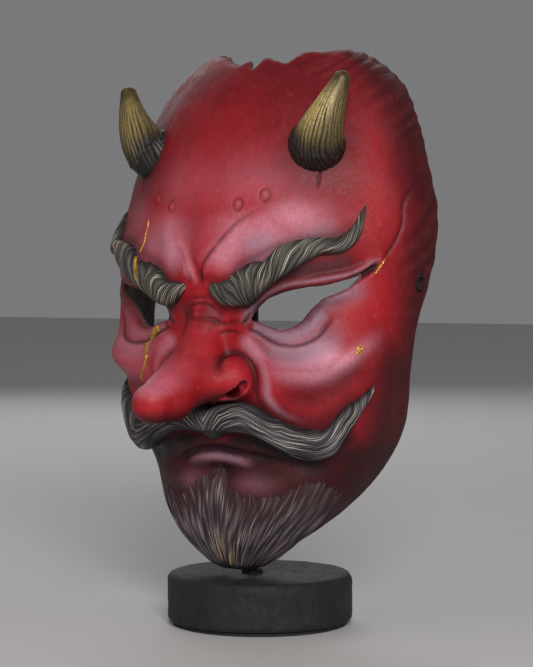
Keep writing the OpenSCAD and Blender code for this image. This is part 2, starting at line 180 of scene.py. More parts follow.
def ends(share, start, end):
    """Fades a line out at its two ends."""
    a = np.clip(share / start, 0, 1) if start > 0 else 1.0
    b = np.clip((1 - share) / end, 0, 1) if end > 0 else 1.0
    return ease(a * b)


def lay(field, window, values, both=True, how=np.maximum):
    """Puts values on a map, on the far side too if both; np.maximum keeps the larger, np.add adds."""
    for view in (field, field[:, ::-1]) if both else (field,):
        view[window] = how(view[window], values)


def blob(t, z, wide, tall, both=True):
    """Soft round patch on the maps, its half sizes in millimetres."""
    a = sample(ARC, t, z)
    spot = np.exp(-(((ARC - a) / wide) ** 2) - ((ZZ - z) / tall) ** 2)
    return spot + spot[:, ::-1] if both else spot


CORNERS = list(itertools.product((0, 1), repeat=3))
LATTICE_SIZE = 64
LATTICE = np.random.default_rng(11).random((LATTICE_SIZE,) * 3) * 2 - 1


def blend(read, cell, share):
    """Mixes the values at the eight corners of each cell."""
    out = 0
    for corner in CORNERS:
        a, b, c = (s if up else 1 - s for s, up in zip(share, corner))
        out = out + a * b * c * read(*(i + up for i, up in zip(cell, corner)))
    return out


def noise(x, y, z, scale):
    """Smooth noise, -1 to 1, whose lumps are about scale across."""
    p = np.broadcast_arrays(*(np.asarray(v, float) / scale + 1000.0 for v in (x, y, z)))
    cell = [np.floor(v).astype(int) for v in p]
    share = [ease(v - w) for v, w in zip(p, cell)]
    return blend(lambda i, j, k: LATTICE[i % LATTICE_SIZE, j % LATTICE_SIZE, k % LATTICE_SIZE], cell, share)


def hashed(k, seed=0):
    """A steady random number from 0 to 1 for each whole number."""
    v = np.sin(np.asarray(k, float) * 12.9898 + seed * 78.233 + 4.1) * 43758.5453
    return v - np.floor(v)


def zigzag(x):
    """0 at whole numbers, 1 halfway between them."""
    return 1 - np.abs(x % 1 * 2 - 1)


# cast shapes, folds cut into them, maroon painted shade (partly the mask's own airbrushing), near-black wash that also
# paints the shade in folds and hollows, pink dry brush as painted highlight, lavender lid paint also dry-brushed on as
# painted highlight, olive streaks
broad, fine, dark, black, light, lilac, olive = (np.zeros_like(BARE) for _ in range(7))


def crease(points, deep, wide, both=True, start=0.2, end=0.2, shade_wash=0.8):
    """A fold cut into the face, with a dark wash in it that paints the shade in the fold."""
    window, d, share = near(points, 7 * wide + 3)
    w = ends(share, start, end)
    lay(fine, window, -deep * w * bell(d, wide), both, np.add)
    lay(black, window, shade_wash * w * bell(d, 0.9 * wide + 0.25), both)


def ridge(points, high, wide, both=True, start=0.2, end=0.2, field=fine, highlight=0.0):
    """A raised fold, with a pale dry brush along its crest if asked, which paints a highlight there."""
    window, d, share = near(points, 2.6 * wide + 2)
    w = ends(share, start, end)
    lay(field, window, high * w * bell(d, wide), both, np.add)
    if highlight:
        lay(light, window, highlight * w * bell(d, 0.7 * wide), both)


def tint(field, points, amount, wide, start=0.2, end=0.2, both=True):
    window, d, share = near(points, 2.6 * wide + 1)
    lay(field, window, amount * ends(share, start, end) * bell(d, wide), both)


# ------------------------------------------------------------------ features of the face, as (angle, height)
EYE_UPPER = [(25, 144), (29, 149.5), (33, 153), (40, 156), (48, 158), (55, 159.2), (59, 160.6), (62, 162), (65, 163.6)]
EYE_LOWER = [(25, 143), (30, 141.8), (35, 140), (38, 139), (42, 140), (46, 143), (49, 148), (53, 153), (57, 155),
             (61, 157.6), (64.8, 162.2)]
EYE_TAIL = [(63, 161.6), (65.6, 163.4), (68.4, 165.8), (71.7, 169.8)]
LID_RIDGE = [(20, 144), (25, 148.5), (31, 153.6), (37, 157.6), (42, 159.4), (48, 160.4), (53, 161.6), (59, 163),
             (63, 164.5), (68, 168), (72, 171)]
LOWER_LID = [(25, 140.6), (29, 139.6), (34, 137), (38, 136), (43, 137), (48, 140.5), (51.5, 145.5), (54.5, 151),
             (58, 153.4), (64, 157), (69, 162.5)]
LOWER_GROOVE = [(19, 141), (23, 139.6), (28, 137.6), (33, 134.4), (38, 132.2), (44, 132.4), (50, 136), (54, 141.5),
                (56.5, 147.5)]
FROWN = [(1.5, 156), (2, 166), (6, 173), (12, 180), (19, 187), (27, 192), (36, 197), (44, 199)]
FROWN_CREST = [(5, 160), (7, 167), (12, 174), (19, 181), (28, 187)]
BROW_BONE = [(6, 157), (20, 158), (33, 166), (46, 173), (58, 178), (67, 186)]
TEMPLE = [(94, 208), (90.2, 206.3), (86.3, 204.3), (83.3, 201), (80.8, 196.9), (79.8, 192.4), (79.4, 187.9),
          (78.4, 183.4), (77, 179.4), (75.2, 175.4), (73.4, 172.3), (71.7, 170)]
WING_FOLD = [(15.8, 114.6), (14.4, 118.6), (13.4, 122), (12.6, 125), (12.6, 127.2), (15.6, 128.6), (20, 128),
             (24.3, 124.7), (26.3, 121), (27, 116.4), (26.6, 111.2), (27.3, 106), (30.4, 102.8)]
CHEEK_FOLD = [(19, 131), (22.6, 130.6), (27.2, 127.4), (30.8, 122.4), (32, 115), (32, 109.4), (35, 104.8), (40, 101.5)]
CHEEK_EDGE = [(28, 125), (33, 121.5), (38, 119.5), (46, 118.5), (53, 120), (58, 124.5), (63, 129), (69, 134), (75, 141)]
CHEEK_HOLLOW = [(34, 111), (42, 108.6), (50, 109.6), (57, 113.4), (62, 118.4), (67, 124), (73, 130)]
LIP_LINE = [(-40, 78), (-27, 79), (-20, 81), (-11, 83.3), (0, 84), (11, 83.3), (20, 82), (28, 80.7), (36, 79.7),
            (47, 78)]
UPPER_LIP = [(-30, 83), (-12, 87), (0, 88), (12, 87), (30, 83)]
LOWER_LIP = [(-26, 77.5), (-12, 79.3), (0, 80), (12, 79.3), (26, 77.5)]

# brow, cheek and mouth masses
broad += 3.0 * blob(52, 128, 16, 10)
for line, high, wide, start, end in ((BROW_BONE, 1.6, 7, 0.2, 0.2), (FROWN_CREST, 1.8, 6.0, 0.15, 0.5),
                                     (CHEEK_EDGE, 1.3, 4.6, 0.25, 0.4), (CHEEK_HOLLOW, -1.9, 5.0, 0.3, 0.4)):
    ridge(line, high, wide, start=start, end=end, field=broad)
broad += (1.6 * step_up(ZZ, 150, 190) + 4.6 * step_up(ZZ, 212, 252)) * step_up(away, 60, 95)
for high, *spot in ((-2.6, 26, 150, 6, 6), (-2.0, 40, 147, 12, 8), (2.0, 26, 69, 13, 6), (-2.8, 1, 74, 10, 3.4, False),
                    (-1.6, 50, 80, 7, 5), (1.6, 0, 172, 5, 10, False)):
    broad += high * blob(*spot)
ridge(LOWER_LIP, 2.2, 3.4, both=False, field=broad, start=0.3, end=0.3)
ridge(UPPER_LIP, 1.4, 3.4, both=False, field=broad, start=0.3, end=0.3)
ridge(CHEEK_FOLD, 1.3, 3.4, field=broad, start=0.3, end=0.35)

# lids
ridge(LID_RIDGE, 1.15, 1.25, start=0.12, end=0.12)
ridge([(43, 163.4), (54, 165.4), (62, 167.4), (69, 171.5)], -1.2, 2.8, start=0.3)
ridge([(40, 167), (50, 170), (58, 172), (66, 177)], 0.5, 3.2, start=0.3, end=0.3)
ridge(LOWER_LID, 1.1, 2.3, start=0.12, end=0.3)
crease(LOWER_GROOVE, 1.0, 0.95, start=0.15, shade_wash=0.3)
ridge([(t + 0.5, z - 1.9) for t, z in LOWER_GROOVE], 0.55, 0.8, end=0.3, highlight=0.55)
crease([(20, 143), (24, 141.4), (29, 139.8), (34, 136.6), (38, 134.6)], 0.35, 0.6, start=0.3, end=0.5, shade_wash=0.2)
ridge([(22, 136.4), (28, 134.4), (34, 130.6), (40, 129), (47, 130.5), (54, 135), (59, 143)], 1.1, 2.6,
      start=0.3, end=0.3)
crease([(24, 145.5), (22, 143), (19, 141)], 0.7, 0.8, start=0.0, end=0.4, shade_wash=0.9)
crease(EYE_TAIL, 2.4, 1.35, start=0.0, end=0.35, shade_wash=1.2)
# painted shade in the outer corner of the eye
tint(black, [(62.4, 160.8), (64.8, 162.6), (67.6, 165.2)], 1.0, 1.7, 0.1)

# frown, nose and cheek folds
crease(FROWN, 0.85, 1.7, both=False, start=0.12, end=0.5, shade_wash=0.12)
ridge([(2.5, 157), (4.4, 166), (8.4, 172), (14.4, 178.6), (21.4, 185), (29, 189.6), (37, 194)], 0.8, 2.2, False,
      0.15, 0.5)
ridge([(-2, 158), (-2.6, 164), (-6, 172), (-11, 179), (-18, 187)], 0.9, 1.8, False, 0.15, 0.5, highlight=0.5)
ridge([(0, 158), (0.2, 165), (-2.4, 171), (-6.5, 178)], -0.7, 1.6, False, 0.2, 0.5)
crease(TEMPLE, 0.8, 1.1, start=0.4, end=0.1, shade_wash=0.25)
for deep, line in ((0.8, [(-8, 149), (-5.4, 149.8), (-0.5, 150.6), (3.7, 150.6), (6.8, 149), (9.8, 146.4)]),
                   (0.7, [(-8, 145.4), (-4.9, 144.7), (2, 143.5), (6.6, 143.5), (9.6, 141.9), (12.8, 141.6),
                          (16.5, 143.8)]),
                   (0.5, [(-5, 152.6), (0, 153.4), (4, 153.2), (7, 151.6)]),
                   (0.5, [(9.1, 135.5), (10.9, 137.4), (14.2, 138.1), (17.9, 137.4), (19.8, 136.2)]),
                   (0.4, [(13, 141), (16.5, 142.6), (20, 143)])):
    crease(line, 0.8 * deep, 0.8, False, 0.3, 0.3, shade_wash=0.45)
    ridge([(t + 0.3, z + 1.6) for t, z in line], 0.5 * deep, 1.0, False, 0.3, 0.3)
crease(WING_FOLD, 1.3, 1.1, start=0.25, end=0.35, shade_wash=0.35)
crease(LIP_LINE, 1.7, 1.6, False, 0.22, 0.22, shade_wash=0.95)
for line in ([(14, 84.5), (22, 84), (30, 82.2)], [(16, 86.6), (24, 85.6)], [(20, 79.4), (28, 78.6), (35, 77.6)]):
    crease(line, 0.45, 0.6, start=0.4, end=0.4, shade_wash=0.5)
# forehead bumps: angle, height, radius, and the far pair is fainter
for (t, z, r), (flip, strength) in itertools.product(((19, 195, 2.3), (31, 199, 2.4)), ((1, 1.0), (-1, 0.8))):
    off = ARC - sample(ARC, t, z)
    d = np.hypot(off, (ZZ - z) * 0.85)
    ring = bell(d - r, 0.65)
    fine[:, ::flip] -= strength * 0.6 * ring
    fine[:, ::flip] += strength * 0.5 * bell(d, 1.6)
    # painted shade in each ring, heavier on its outer side
    lay(black[:, ::flip], ..., 0.3 * strength * ring * (0.6 + 0.4 * np.sign(off)), False)
crease([(53.8, 209.5), (53.2, 205), (51.6, 200.2)], 0.7, 0.5, start=0.0, end=0.5, shade_wash=0.9)

# soft locks that run back to the rim from the temple groove and up to the top edge
groove_t = np.interp(ZZ, [150, 170, 181, 187, 193, 199, 203, 207, 225, 250, 280],
                     [84, 75, 79, 80, 82, 85, 89, 92, 86, 66, 0])
hairy = step_up(away, groove_t - 3, groove_t + 9) * step_up(ZZ, 146, 166)
along = from_middle * 0.62 + ZZ * 0.78
across = -from_middle * 0.78 + ZZ * 0.62
wander = noise(along, across, 0, 26) * 5.5 + noise(along, across, 9, 10) * 2.0
locks = ease(zigzag((across + wander) / 8.5))
threads = zigzag((across + wander * 1.3) / 2.6)
patchy = 0.45 + 0.55 * step_up(noise(along * 0.5, across, 3, 10), -0.5, 0.5)
fine += hairy * patchy * (0.55 * (locks - 0.5) + 0.2 * (threads - 0.5))

# ------------------------------------------------------------------ paint masks
# Painted shade: maroon towards the rim, on the sides, over the lower cheeks, jaw and chin, over the temple locks,
# across the top of the forehead and on the far side above the eye; near black in the hollows between the temple locks,
# round the horn feet and under the chin. The maroon towards the rim and over the temple locks is partly the mask's own
# airbrushing. The olive on the locks is the mask's own paint.
for field, values in (
        (olive, 0.35 * hairy * patchy * step_up(locks, 0.5, 1.0)),
        (black, 0.35 * hairy * patchy * step_up(-locks, -0.3, 0.0)),
        (dark, 0.9 * step_up(from_middle - EDGE, -26, -2)),
        (dark, 0.92 * step_up(away, 58, 80) * step_up(ZZ, 152, 122)),
        (dark, 0.9 * step_up(away, 68, 88)),
        (dark, 1.0 * step_up(ZZ, 98, 84)),
        (black, 0.3 * step_up(away, 58, 84) * step_up(ZZ, 108, 84)),
        (dark, 0.55 * hairy),
        (dark, 0.6 * step_up(ZZ, 200, 258)),
        (dark, 0.5 * step_up(-TT, 24, 60) * step_up(ZZ, 150, 175)),
        (black, 0.9 * np.clip(blob(54, 222, 17, 17), 0, 1) ** 1.3),
        (black, 0.85 * step_up(ZZ, 66, 52) * step_up(away, 60, 20))):
    lay(field, ..., values, False)
# round patches of painted shade by the eyes and round the horn, painted highlight on the chin and on the forehead above
# the brows, and lavender painted highlight along the top of the brow
for field, amount, *spot in (
        (dark, 0.95, 26, 150, 7, 9), (dark, 0.8, 40, 147, 17, 11), (dark, 0.6, 54, 214, 27, 26),
        (light, 0.22, 24, 68, 10, 5), (light, 0.8, 27, 182, 18, 10), (lilac, 0.75, 30, 177.5, 9, 5),
        (light, 0.7, 43, 189, 15, 8), (light, 0.22, 26, 204, 24, 14)):
    lay(field, ..., amount * np.clip(blob(*spot), 0, 1), False)
# strokes along lines: map, line, amount, half width, and how long the two ends fade
# dark and black strokes are painted shade under and over the brows, round the eyes, under the nose and moustache, round
# the mouth and in the folds; light strokes are painted highlights on the brow bone, cheeks and folds; lilac strokes are
# the lavender of the lids and lavender painted highlights on the brow bone, cheeks and beside the nose
for stroke in (
        (dark, [(30, 160), (42, 164), (55, 167), (66, 172)], 0.85, 5.0),
        (dark, [(4, 160), (15, 158), (25, 164), (36, 171), (50, 178), (60, 181), (66, 190)], 0.6, 7.5),
        (dark, [(0, 104), (14, 106), (27, 104), (36, 99), (50, 94), (60, 98), (66, 108), (71, 114)], 0.85, 7.0),
        (dark, [(0, 86), (24, 87), (38, 82), (52, 78), (62, 84), (68, 104)], 1.0, 8.0),
        (dark, LOWER_GROOVE, 0.55, 2.6), (dark, TEMPLE, 0.5, 3.0), (dark, WING_FOLD, 0.6, 2.6),
        (dark, [(0, 147), (6, 146), (12, 143)], 0.6, 6.0),
        (black, [(6, 155), (15, 149), (25, 150), (34, 156.5), (40, 162.5), (46, 168), (53, 172), (60, 173), (64, 177)],
         0.55, 2.6),
        (black, [(3, 162), (16, 162.5), (20, 167), (27, 171), (36, 176), (49, 180), (58, 181), (62, 185.5), (66, 192)],
         0.4, 2.0),
        (black, EYE_UPPER, 0.8, 1.4, 0.05, 0.0), (black, EYE_LOWER, 0.6, 0.9, 0.05, 0.0),
        (black, [(0, 87), (20, 88), (33, 86), (44, 81.5), (53, 79.5), (60, 82)], 0.9, 4.5),
        (lilac, LID_RIDGE, 0.65, 1.1, 0.05, 0.05), (lilac, LOWER_LID[:8], 0.95, 3.4, 0.05, 0.15),
        (lilac, LOWER_LID[6:], 0.6, 4.6, 0.2, 0.4),
        (dark, [(45, 140), (49, 145.5), (52.6, 150.6), (57, 152.6), (62, 155.6), (67, 160)], 0.55, 2.4, 0.3, 0.4),
        (black, [(45, 139.6), (48.8, 145), (52.6, 150), (57, 152.6), (61, 155)], 0.5, 1.9, 0.3, 0.5),
        (lilac, [(20, 141), (24, 146), (27, 150)], 0.4, 2.2),
        (lilac, [(40, 163.5), (50, 167.5), (58, 169), (66, 174)], 0.16, 2.6, 0.3, 0.4),
        (lilac, [(20, 163), (30, 171), (40, 178), (52, 183), (60, 188)], 0.4, 4.5),
        (lilac, [(23, 134), (30, 131), (38, 128.5), (47, 129.5), (54, 135), (61, 145)], 0.8, 5.4, 0.3, 0.4),
        (light, [(8, 162), (12, 171), (20, 180), (30, 187), (42, 190)], 0.75, 8.5, 0.25, 0.5),
        (light, [(30, 130), (38, 129), (46, 127), (55, 129), (62, 136)], 1.0, 8.5, 0.3, 0.4),
        (light, CHEEK_EDGE, 0.85, 4.2, 0.3, 0.4), (dark, CHEEK_HOLLOW, 0.5, 5.5, 0.25, 0.3),
        (light, CHEEK_FOLD, 0.5, 2.2, 0.2, 0.3),
        (light, [(20, 138), (23.5, 133.5), (28, 128.5), (32, 122)], 0.7, 4.0, 0.3, 0.4),
        (lilac, [(19, 139), (20.5, 134), (25.4, 129.6), (29.6, 124.4), (31.4, 117), (31.6, 110), (34.6, 105.4),
                 (39, 101.6), (46, 98.6), (52, 97.4)], 0.5, 1.3, 0.2, 0.4)):
    tint(*stroke)
# on one side only: painted shade under the moustache and the lower lip, painted highlights on the lower lip and on the
# left fold of the frown
for stroke in (
        (black, [(-9, 84), (0, 85), (9, 84), (22, 82.5)], 0.5, 2.2),
        (black, [(-10, 74.5), (0, 75), (10, 74.5)], 0.55, 3.4),
        (lilac, [(-16, 80), (0, 81), (14, 79.6), (24, 78)], 0.5, 1.9, 0.3, 0.3),
        (light, [(-3, 160), (-6, 168), (-12, 176), (-19, 184)], 0.6, 2.2, 0.2, 0.5),
        (light, LOWER_LIP, 0.3, 2.2)):
    tint(*stroke, both=False)
# less painted highlight and lavender on the far side, which paints that side as lying in shade
far_side_shade = 1 - 0.65 * step_up(-TT, 14, 34)
light *= far_side_shade * (1 + 0.25 * noise(ARC, ZZ, ZZ * 0 + 60, 9))
lilac *= far_side_shade

# ------------------------------------------------------------------ shape helpers that stand on the maps
OUTER = BARE + broad
OUT_T = np.gradient(OUTER, STEP, axis=1)
OUT_Z = np.gradient(OUTER, CELL, axis=0)
LEAN = 1 / np.sqrt(1 + (OUT_T / OUTER) ** 2 + OUT_Z ** 2)


def unit(v):
    return v / np.linalg.norm(v, axis=-1, keepdims=True)


def face_points(t, z, lift=0.0):
    """Points on the face at angles and heights, lifted off it, and the outward directions there."""
    r, rt, rz = sample(OUTER, t, z), sample(OUT_T, t, z), sample(OUT_Z, t, z)
    s, c = np.sin(np.radians(t)), np.cos(np.radians(t))
    p = np.stack([r * s, SECTION_Y - r * c, z + 0 * r], -1)
    a = np.stack([rt * s + r * c, -rt * c + r * s, 0 * r], -1)
    b = np.stack([rz * s, -rz * c, 1 + 0 * r], -1)
    n = unit(np.cross(a, b))
    return p + n * np.asarray(lift)[..., None], n


def smin(a, b, k):
    """The smaller of two distances, rounded over k where they meet."""
    h = np.clip(0.5 + 0.5 * (b - a) / k, 0, 1)
    return b * (1 - h) + a * h - k * h * (1 - h)


def smax(a, b, k):
    return -smin(-a, -b, k)


def capsule(p, a, b):
    """Distance to a round cone between two balls (x, y, z, r)."""
    a, b = np.asarray(a, np.float32), np.asarray(b, np.float32)
    ab = b[:3] - a[:3]
    f = sum((p[i] - a[i]) * ab[i] for i in range(3)) / float(ab @ ab)
    f = np.clip(f, 0, 1)
    d = np.sqrt(sum((p[i] - a[i] - f * ab[i]) ** 2 for i in range(3)))
    return d - (a[3] + f * (b[3] - a[3]))


def outline_distance(px, pz, poly):
    """Signed distance to a closed 2-D outline, negative inside."""
    best, inside = np.full(px.shape, 1e9), np.zeros(px.shape, bool)
    for (ax, az), (bx, bz) in zip(poly, poly[1:] + poly[:1]):
        ex, ez = bx - ax, bz - az
        f = np.clip(((px - ax) * ex + (pz - az) * ez) / (ex * ex + ez * ez + 1e-12), 0, 1)
        best = np.minimum(best, np.hypot(px - ax - f * ex, pz - az - f * ez))
        inside ^= ((az > pz) != (bz > pz)) & (px < (bx - ax) * (pz - az) / (bz - az + 1e-12) + ax)
    return np.where(inside, -best, best)


# ------------------------------------------------------------------ the shell as a volume
VOXEL = 0.8
X, Y, Z = (np.arange(low, high, VOXEL, dtype=np.float32) for low, high in ((-90, 90.01), (-93, 40.01), (22, 278.01)))


def cell_of(axis, value):
    return int((value - axis[0]) / VOXEL)


# balls down the bridge of the nose to its round tip: x, y, z, radius
NOSE = [(0, -38, 156, 6), (0, -39, 148, 7.2), (0, -40.5, 138, 8.8), (0, -46, 126, 10.8), (0, -55.5, 116, 12.2),
        (0, -67, 109.6, 11.2), (0, -78.5, 106.8, 9)]
NOSE_INSIDE = [(0, -30, 150, 6), (0, -30, 138, 6), (0, -31, 126, 8), (0, -34, 118, 8), (0, -60, 112, 7),
               (0, -76, 107, 5)]
THINNEST = 2.2
WING_X, WING_Y, WING_Z, WING_R = 14.6, -41, 116.8, 10.2

flat_x, flat_y = np.meshgrid(X, Y, indexing="ij")
flat_t = np.degrees(np.arctan2(flat_x, SECTION_Y - flat_y))
flat_rho = np.hypot(flat_x, SECTION_Y - flat_y)
ragged = 0.5 * noise(ARC, 0, 0, 6) + 0.35 * noise(ARC, 0, 5, 2.6)
TRIM = smax(smax((from_middle - EDGE) * 0.94 + 0.5 * noise(ZZ, 0, np.sign(TT) * 9, 7),
                 ZZ - curve(TOP_LINE, TT) - ragged, 4.0), SHELL_BOTTOM - ZZ, 1.0)

outer = np.empty((len(X), len(Y), len(Z)), np.float32)
trim = np.empty_like(outer)
for k, z in enumerate(Z):
    row = (z - Z_AXIS[0]) / CELL
    i, f = int(row), row - int(row)
    field_r, lean, cut = (np.interp(flat_t, T_AXIS, field[i] * (1 - f) + field[i + 1] * f).astype(np.float32)
                          for field in (OUTER, LEAN, TRIM))
    outer[:, :, k] = (flat_rho - field_r) * lean
    trim[:, :, k] = cut

inner = outer + WALL
box = (slice(cell_of(X, -42), cell_of(X, 42)), slice(0, cell_of(Y, -20)), slice(cell_of(Z, 88), cell_of(Z, 172)))
here = np.meshgrid(X[box[0]], Y[box[1]], Z[box[2]], indexing="ij")
nose = capsule(here, *NOSE[:2])
for a, b in zip(NOSE[1:], NOSE[2:]):
    nose = smin(nose, capsule(here, a, b), 2.5)
for side in (-1, 1):
    nose = smin(nose, capsule(here, (side * WING_X, WING_Y, WING_Z, WING_R),
                              (side * 8, WING_Y - 7, WING_Z - 1, WING_R - 1)), 3.5)
outer[box] = smin(outer[box], nose, 6.5)
for side in (-1, 1):
    pit = smin(capsule(here, (side * 15.5, -46.5, 108.8, 2.4), (side * 22.6, -43, 113.6, 2.7)),
               capsule(here, (side * 19, -44, 111, 3.0), (side * 14, -41, 112.5, 3.0)), 1.0)
    outer[box] = smax(outer[box], -pit, 1.2)
hollow = nose + WALL
for a, b in zip(NOSE_INSIDE, NOSE_INSIDE[1:]):
    hollow = smin(hollow, capsule(here, a, b), 2.0)
inner[box] = smin(inner[box], hollow, 4.0)
inner = np.maximum(inner, outer + THINNEST)
shell = smax(smax(outer, -inner, 0.8), trim, 2.2)
del inner, trim

# eye openings, cut along each eye's line of sight
SIGHT_X, SIGHT_Y = math.cos(math.radians(37)), math.sin(math.radians(37))
EYE_DEPTH = 15
on_face, _ = face_points(*np.array([*EYE_UPPER, *EYE_LOWER[::-1]], float).T)
eye = [(p[0] * SIGHT_X + p[1] * SIGHT_Y, p[2]) for p in on_face]
rows = range(cell_of(Z, 132), cell_of(Z, 176))
u = np.arange(-20, 62, CELL)
cut = outline_distance(*np.meshgrid(u, Z[rows.start:rows.stop], indexing="ij"), eye)
middle = cell_of(X, 0)
for side, half in ((-1, slice(0, middle + 1)), (1, slice(middle, len(X)))):
    ax, ay = np.meshgrid(side * X[half], Y, indexing="ij")
    across_sight = ax * SIGHT_X + ay * SIGHT_Y
    short_of = (EYE_DEPTH - (ax * SIGHT_Y - ay * SIGHT_X)).astype(np.float32)
    for column, k in enumerate(rows):
        d = np.maximum(np.interp(across_sight, u, cut[:, column]).astype(np.float32), short_of)
        shell[half, :, k] = smax(shell[half, :, k], -d, 1.3)

# strap holes
STRAP_HOLE_R = 3.85
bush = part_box("right_strap_bush")
hole_y, hole_z = ((bush[0][i] + bush[1][i]) / 2 / MM for i in (1, 2))
gy, gz = np.meshgrid(Y, Z, indexing="ij")
hole = (np.hypot(gy - hole_y, gz - hole_z) - STRAP_HOLE_R).astype(np.float32)
for half in (X > 60, X < -60):
    shell[half] = smax(shell[half], -hole[None], 0.5)


def surface_net(field, origin, size):
    """Closed quad mesh of the places where the field is zero, its outside where the field is positive."""
    inside = field < 0

    def part(volume, corner):
        return volume[tuple(slice(o, volume.shape[i] - 1 + o) for i, o in enumerate(corner))]

    n = sum(part(inside, corner).astype(np.uint8) for corner in CORNERS)
    mixed = (n > 0) & (n < len(CORNERS))
    cells = np.argwhere(mixed)
    index = np.full(mixed.shape, -1, np.int32)
    index[mixed] = np.arange(len(cells))
    at = {c: field[tuple((cells + c).T)] for c in CORNERS}
    total, count = np.zeros((len(cells), 3)), np.zeros(len(cells))
    for c, axis in itertools.product(CORNERS, range(3)):
        if c[axis]:
            continue
        a, b = at[c], at[tuple(1 if i == axis else v for i, v in enumerate(c))]
        cross = (a < 0) != (b < 0)
        f = np.where(cross, a / np.where(cross, a - b, 1), 0)
        total += (np.array(c, float)[None] + f[:, None] * np.eye(3)[axis][None]) * cross[:, None]
        count += cross
    points = (cells + total / count[:, None]) * size + np.asarray(origin)
    quads = []
    for axis in range(3):
        u, v = [i for i in range(3) if i != axis]
        lower = [slice(1, s - 1) for s in field.shape]
        upper = list(lower)
        lower[axis], upper[axis] = slice(0, field.shape[axis] - 1), slice(1, field.shape[axis])
        a, b = inside[tuple(lower)], inside[tuple(upper)]
        spots = np.argwhere(a != b)
        leaving = a[tuple(spots.T)]
        spots += np.array([1 if i != axis else 0 for i in range(3)])
        ring = []
        for du, dv in ((-1, -1), (0, -1), (0, 0), (-1, 0)):
            c = spots.copy()
            c[:, u] += du
            c[:, v] += dv
            ring.append(index[tuple(c.T)])
        ring = np.stack(ring, 1)
        if axis == 1:
            leaving = ~leaving
        ring[~leaving] = ring[~leaving][:, ::-1]
        quads.append(ring)
    return points, np.concatenate(quads)


def trilinear(field, p):
    """Value of a volume at points."""
    q = np.clip((p - np.array([X[0], Y[0], Z[0]])) / VOXEL, 0, np.array(field.shape) - 1.001)
    cell = q.astype(int)
    return blend(lambda i, j, k: field[i, j, k], cell.T, (q - cell).T)


def vertex_normals(points, quads):
    n = np.cross(points[quads[:, 2]] - points[quads[:, 0]], points[quads[:, 3]] - points[quads[:, 1]])
    out = np.zeros_like(points)
    for i, c in itertools.product(range(4), range(3)):
        out[:, c] += np.bincount(quads[:, i], n[:, c], len(points))
    return out / np.maximum(np.linalg.norm(out, axis=1, keepdims=True), 1e-12)


def relax(values, quads, rounds):
    """Averages values with their neighbours'."""
    if values.ndim > 1:
        return np.stack([relax(column, quads, rounds) for column in values.T], 1)
    n = len(values)
    a, b = np.concatenate([quads[:, [i, (i + 1) % 4]] for i in range(4)]).T
    count = np.bincount(a, minlength=n) + np.bincount(b, minlength=n)
    for _ in range(rounds):
        s = np.bincount(a, values[b], n) + np.bincount(b, values[a], n)
        values = 0.5 * values + 0.5 * s / count
    return values


def add_object(name, data):
    obj = bpy.data.objects.new(name, data)
    bpy.context.scene.collection.objects.link(obj)
    return obj


def outward(points, faces):
    """Turns all faces over if the closed mesh is inside out."""
    v = points[faces]
    volume = sum(np.einsum("ij,ij->", v[:, 0], np.cross(v[:, i], v[:, i + 1])) for i in (1, 2))
    return faces if volume > 0 else faces[:, ::-1]


def make(name, points, faces, body, node, slot, material, attributes=None):
    """A closed piece from points in millimetres and quads, with a float attribute for each named list of values.
    It rides on the body and replaces the CAD node."""
    mesh = bpy.data.meshes.new(name)
    mesh.vertices.add(len(points))
    mesh.vertices.foreach_set("co", (np.asarray(points, float) * MM).astype(np.float32).ravel())
    count, corners = faces.shape
    mesh.loops.add(faces.size)
    mesh.loops.foreach_set("vertex_index", faces.astype(np.int32).ravel())
    mesh.polygons.add(count)
    mesh.polygons.foreach_set("loop_start", np.arange(0, faces.size, corners, dtype=np.int32))
    mesh.polygons.foreach_set("loop_total", np.full(count, corners, np.int32))
    mesh.update(calc_edges=True)
    mesh.polygons.foreach_set("use_smooth", np.full(count, True))
    for key, values in (attributes or {}).items():
        mesh.attributes.new(key, "FLOAT", "POINT").data.foreach_set("value", np.asarray(values, np.float32))
    mesh.materials.append(MAT[material])
    obj = add_object(name, mesh)
    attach(obj, body)
    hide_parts(node)
    return obj


points, quads = surface_net(shell, (X[0], Y[0], Z[0]), VOXEL)
for _ in range(2):
    d = trilinear(shell, points)
    points -= vertex_normals(points, quads) * np.clip(d, -0.4, 0.4)[:, None] * 0.8
    points = points + (relax(points, quads, 1) - points) * 0.25
normals = vertex_normals(points, quads)
x, y, high = points.T.copy()
theta = np.degrees(np.arctan2(x, SECTION_Y - y))
face_side = step_up(trilinear(outer, points), -1.6, -0.35)
cuts = sample(fine, theta, high) * face_side
cuts += 0.10 * noise(x, y, high, 5.5) * face_side
cuts += 0.28 * noise(x, y, high + 50, 4.0) * (1 - face_side)
points += normals * cuts[:, None]
normals = vertex_normals(points, quads)
bulge = np.sum((points - relax(points, quads, 6)) * normals, axis=1)
bulge = relax(bulge, quads, 1)
del shell, outer

# the paint on the shell's points
x, y, high = points.T
masks = {"dark": dark, "black": black, "light": light, "lilac": lilac, "olive": olive}
paint = {key: sample(field, theta, high) * face_side for key, field in masks.items()}
paint["inside"] = 1 - face_side
# edge is how far a point stands out from its neighbours; the paint uses it for highlight on raised edges and shade in
# hollows
paint["edge"] = np.clip(bulge / 0.22, -1, 1) * 0.5 + 0.5
# the nose stands in front of the face, so the paint that belongs to the face behind it is wiped off
on_nose = step_up(np.hypot(x, SECTION_Y - y) - sample(OUTER, theta, high), 3.0, 7.0)
for key in ("dark", "black", "light", "lilac"):
    paint[key] = paint[key] * (1 - on_nose * step_up(120 - high, 0, 6))
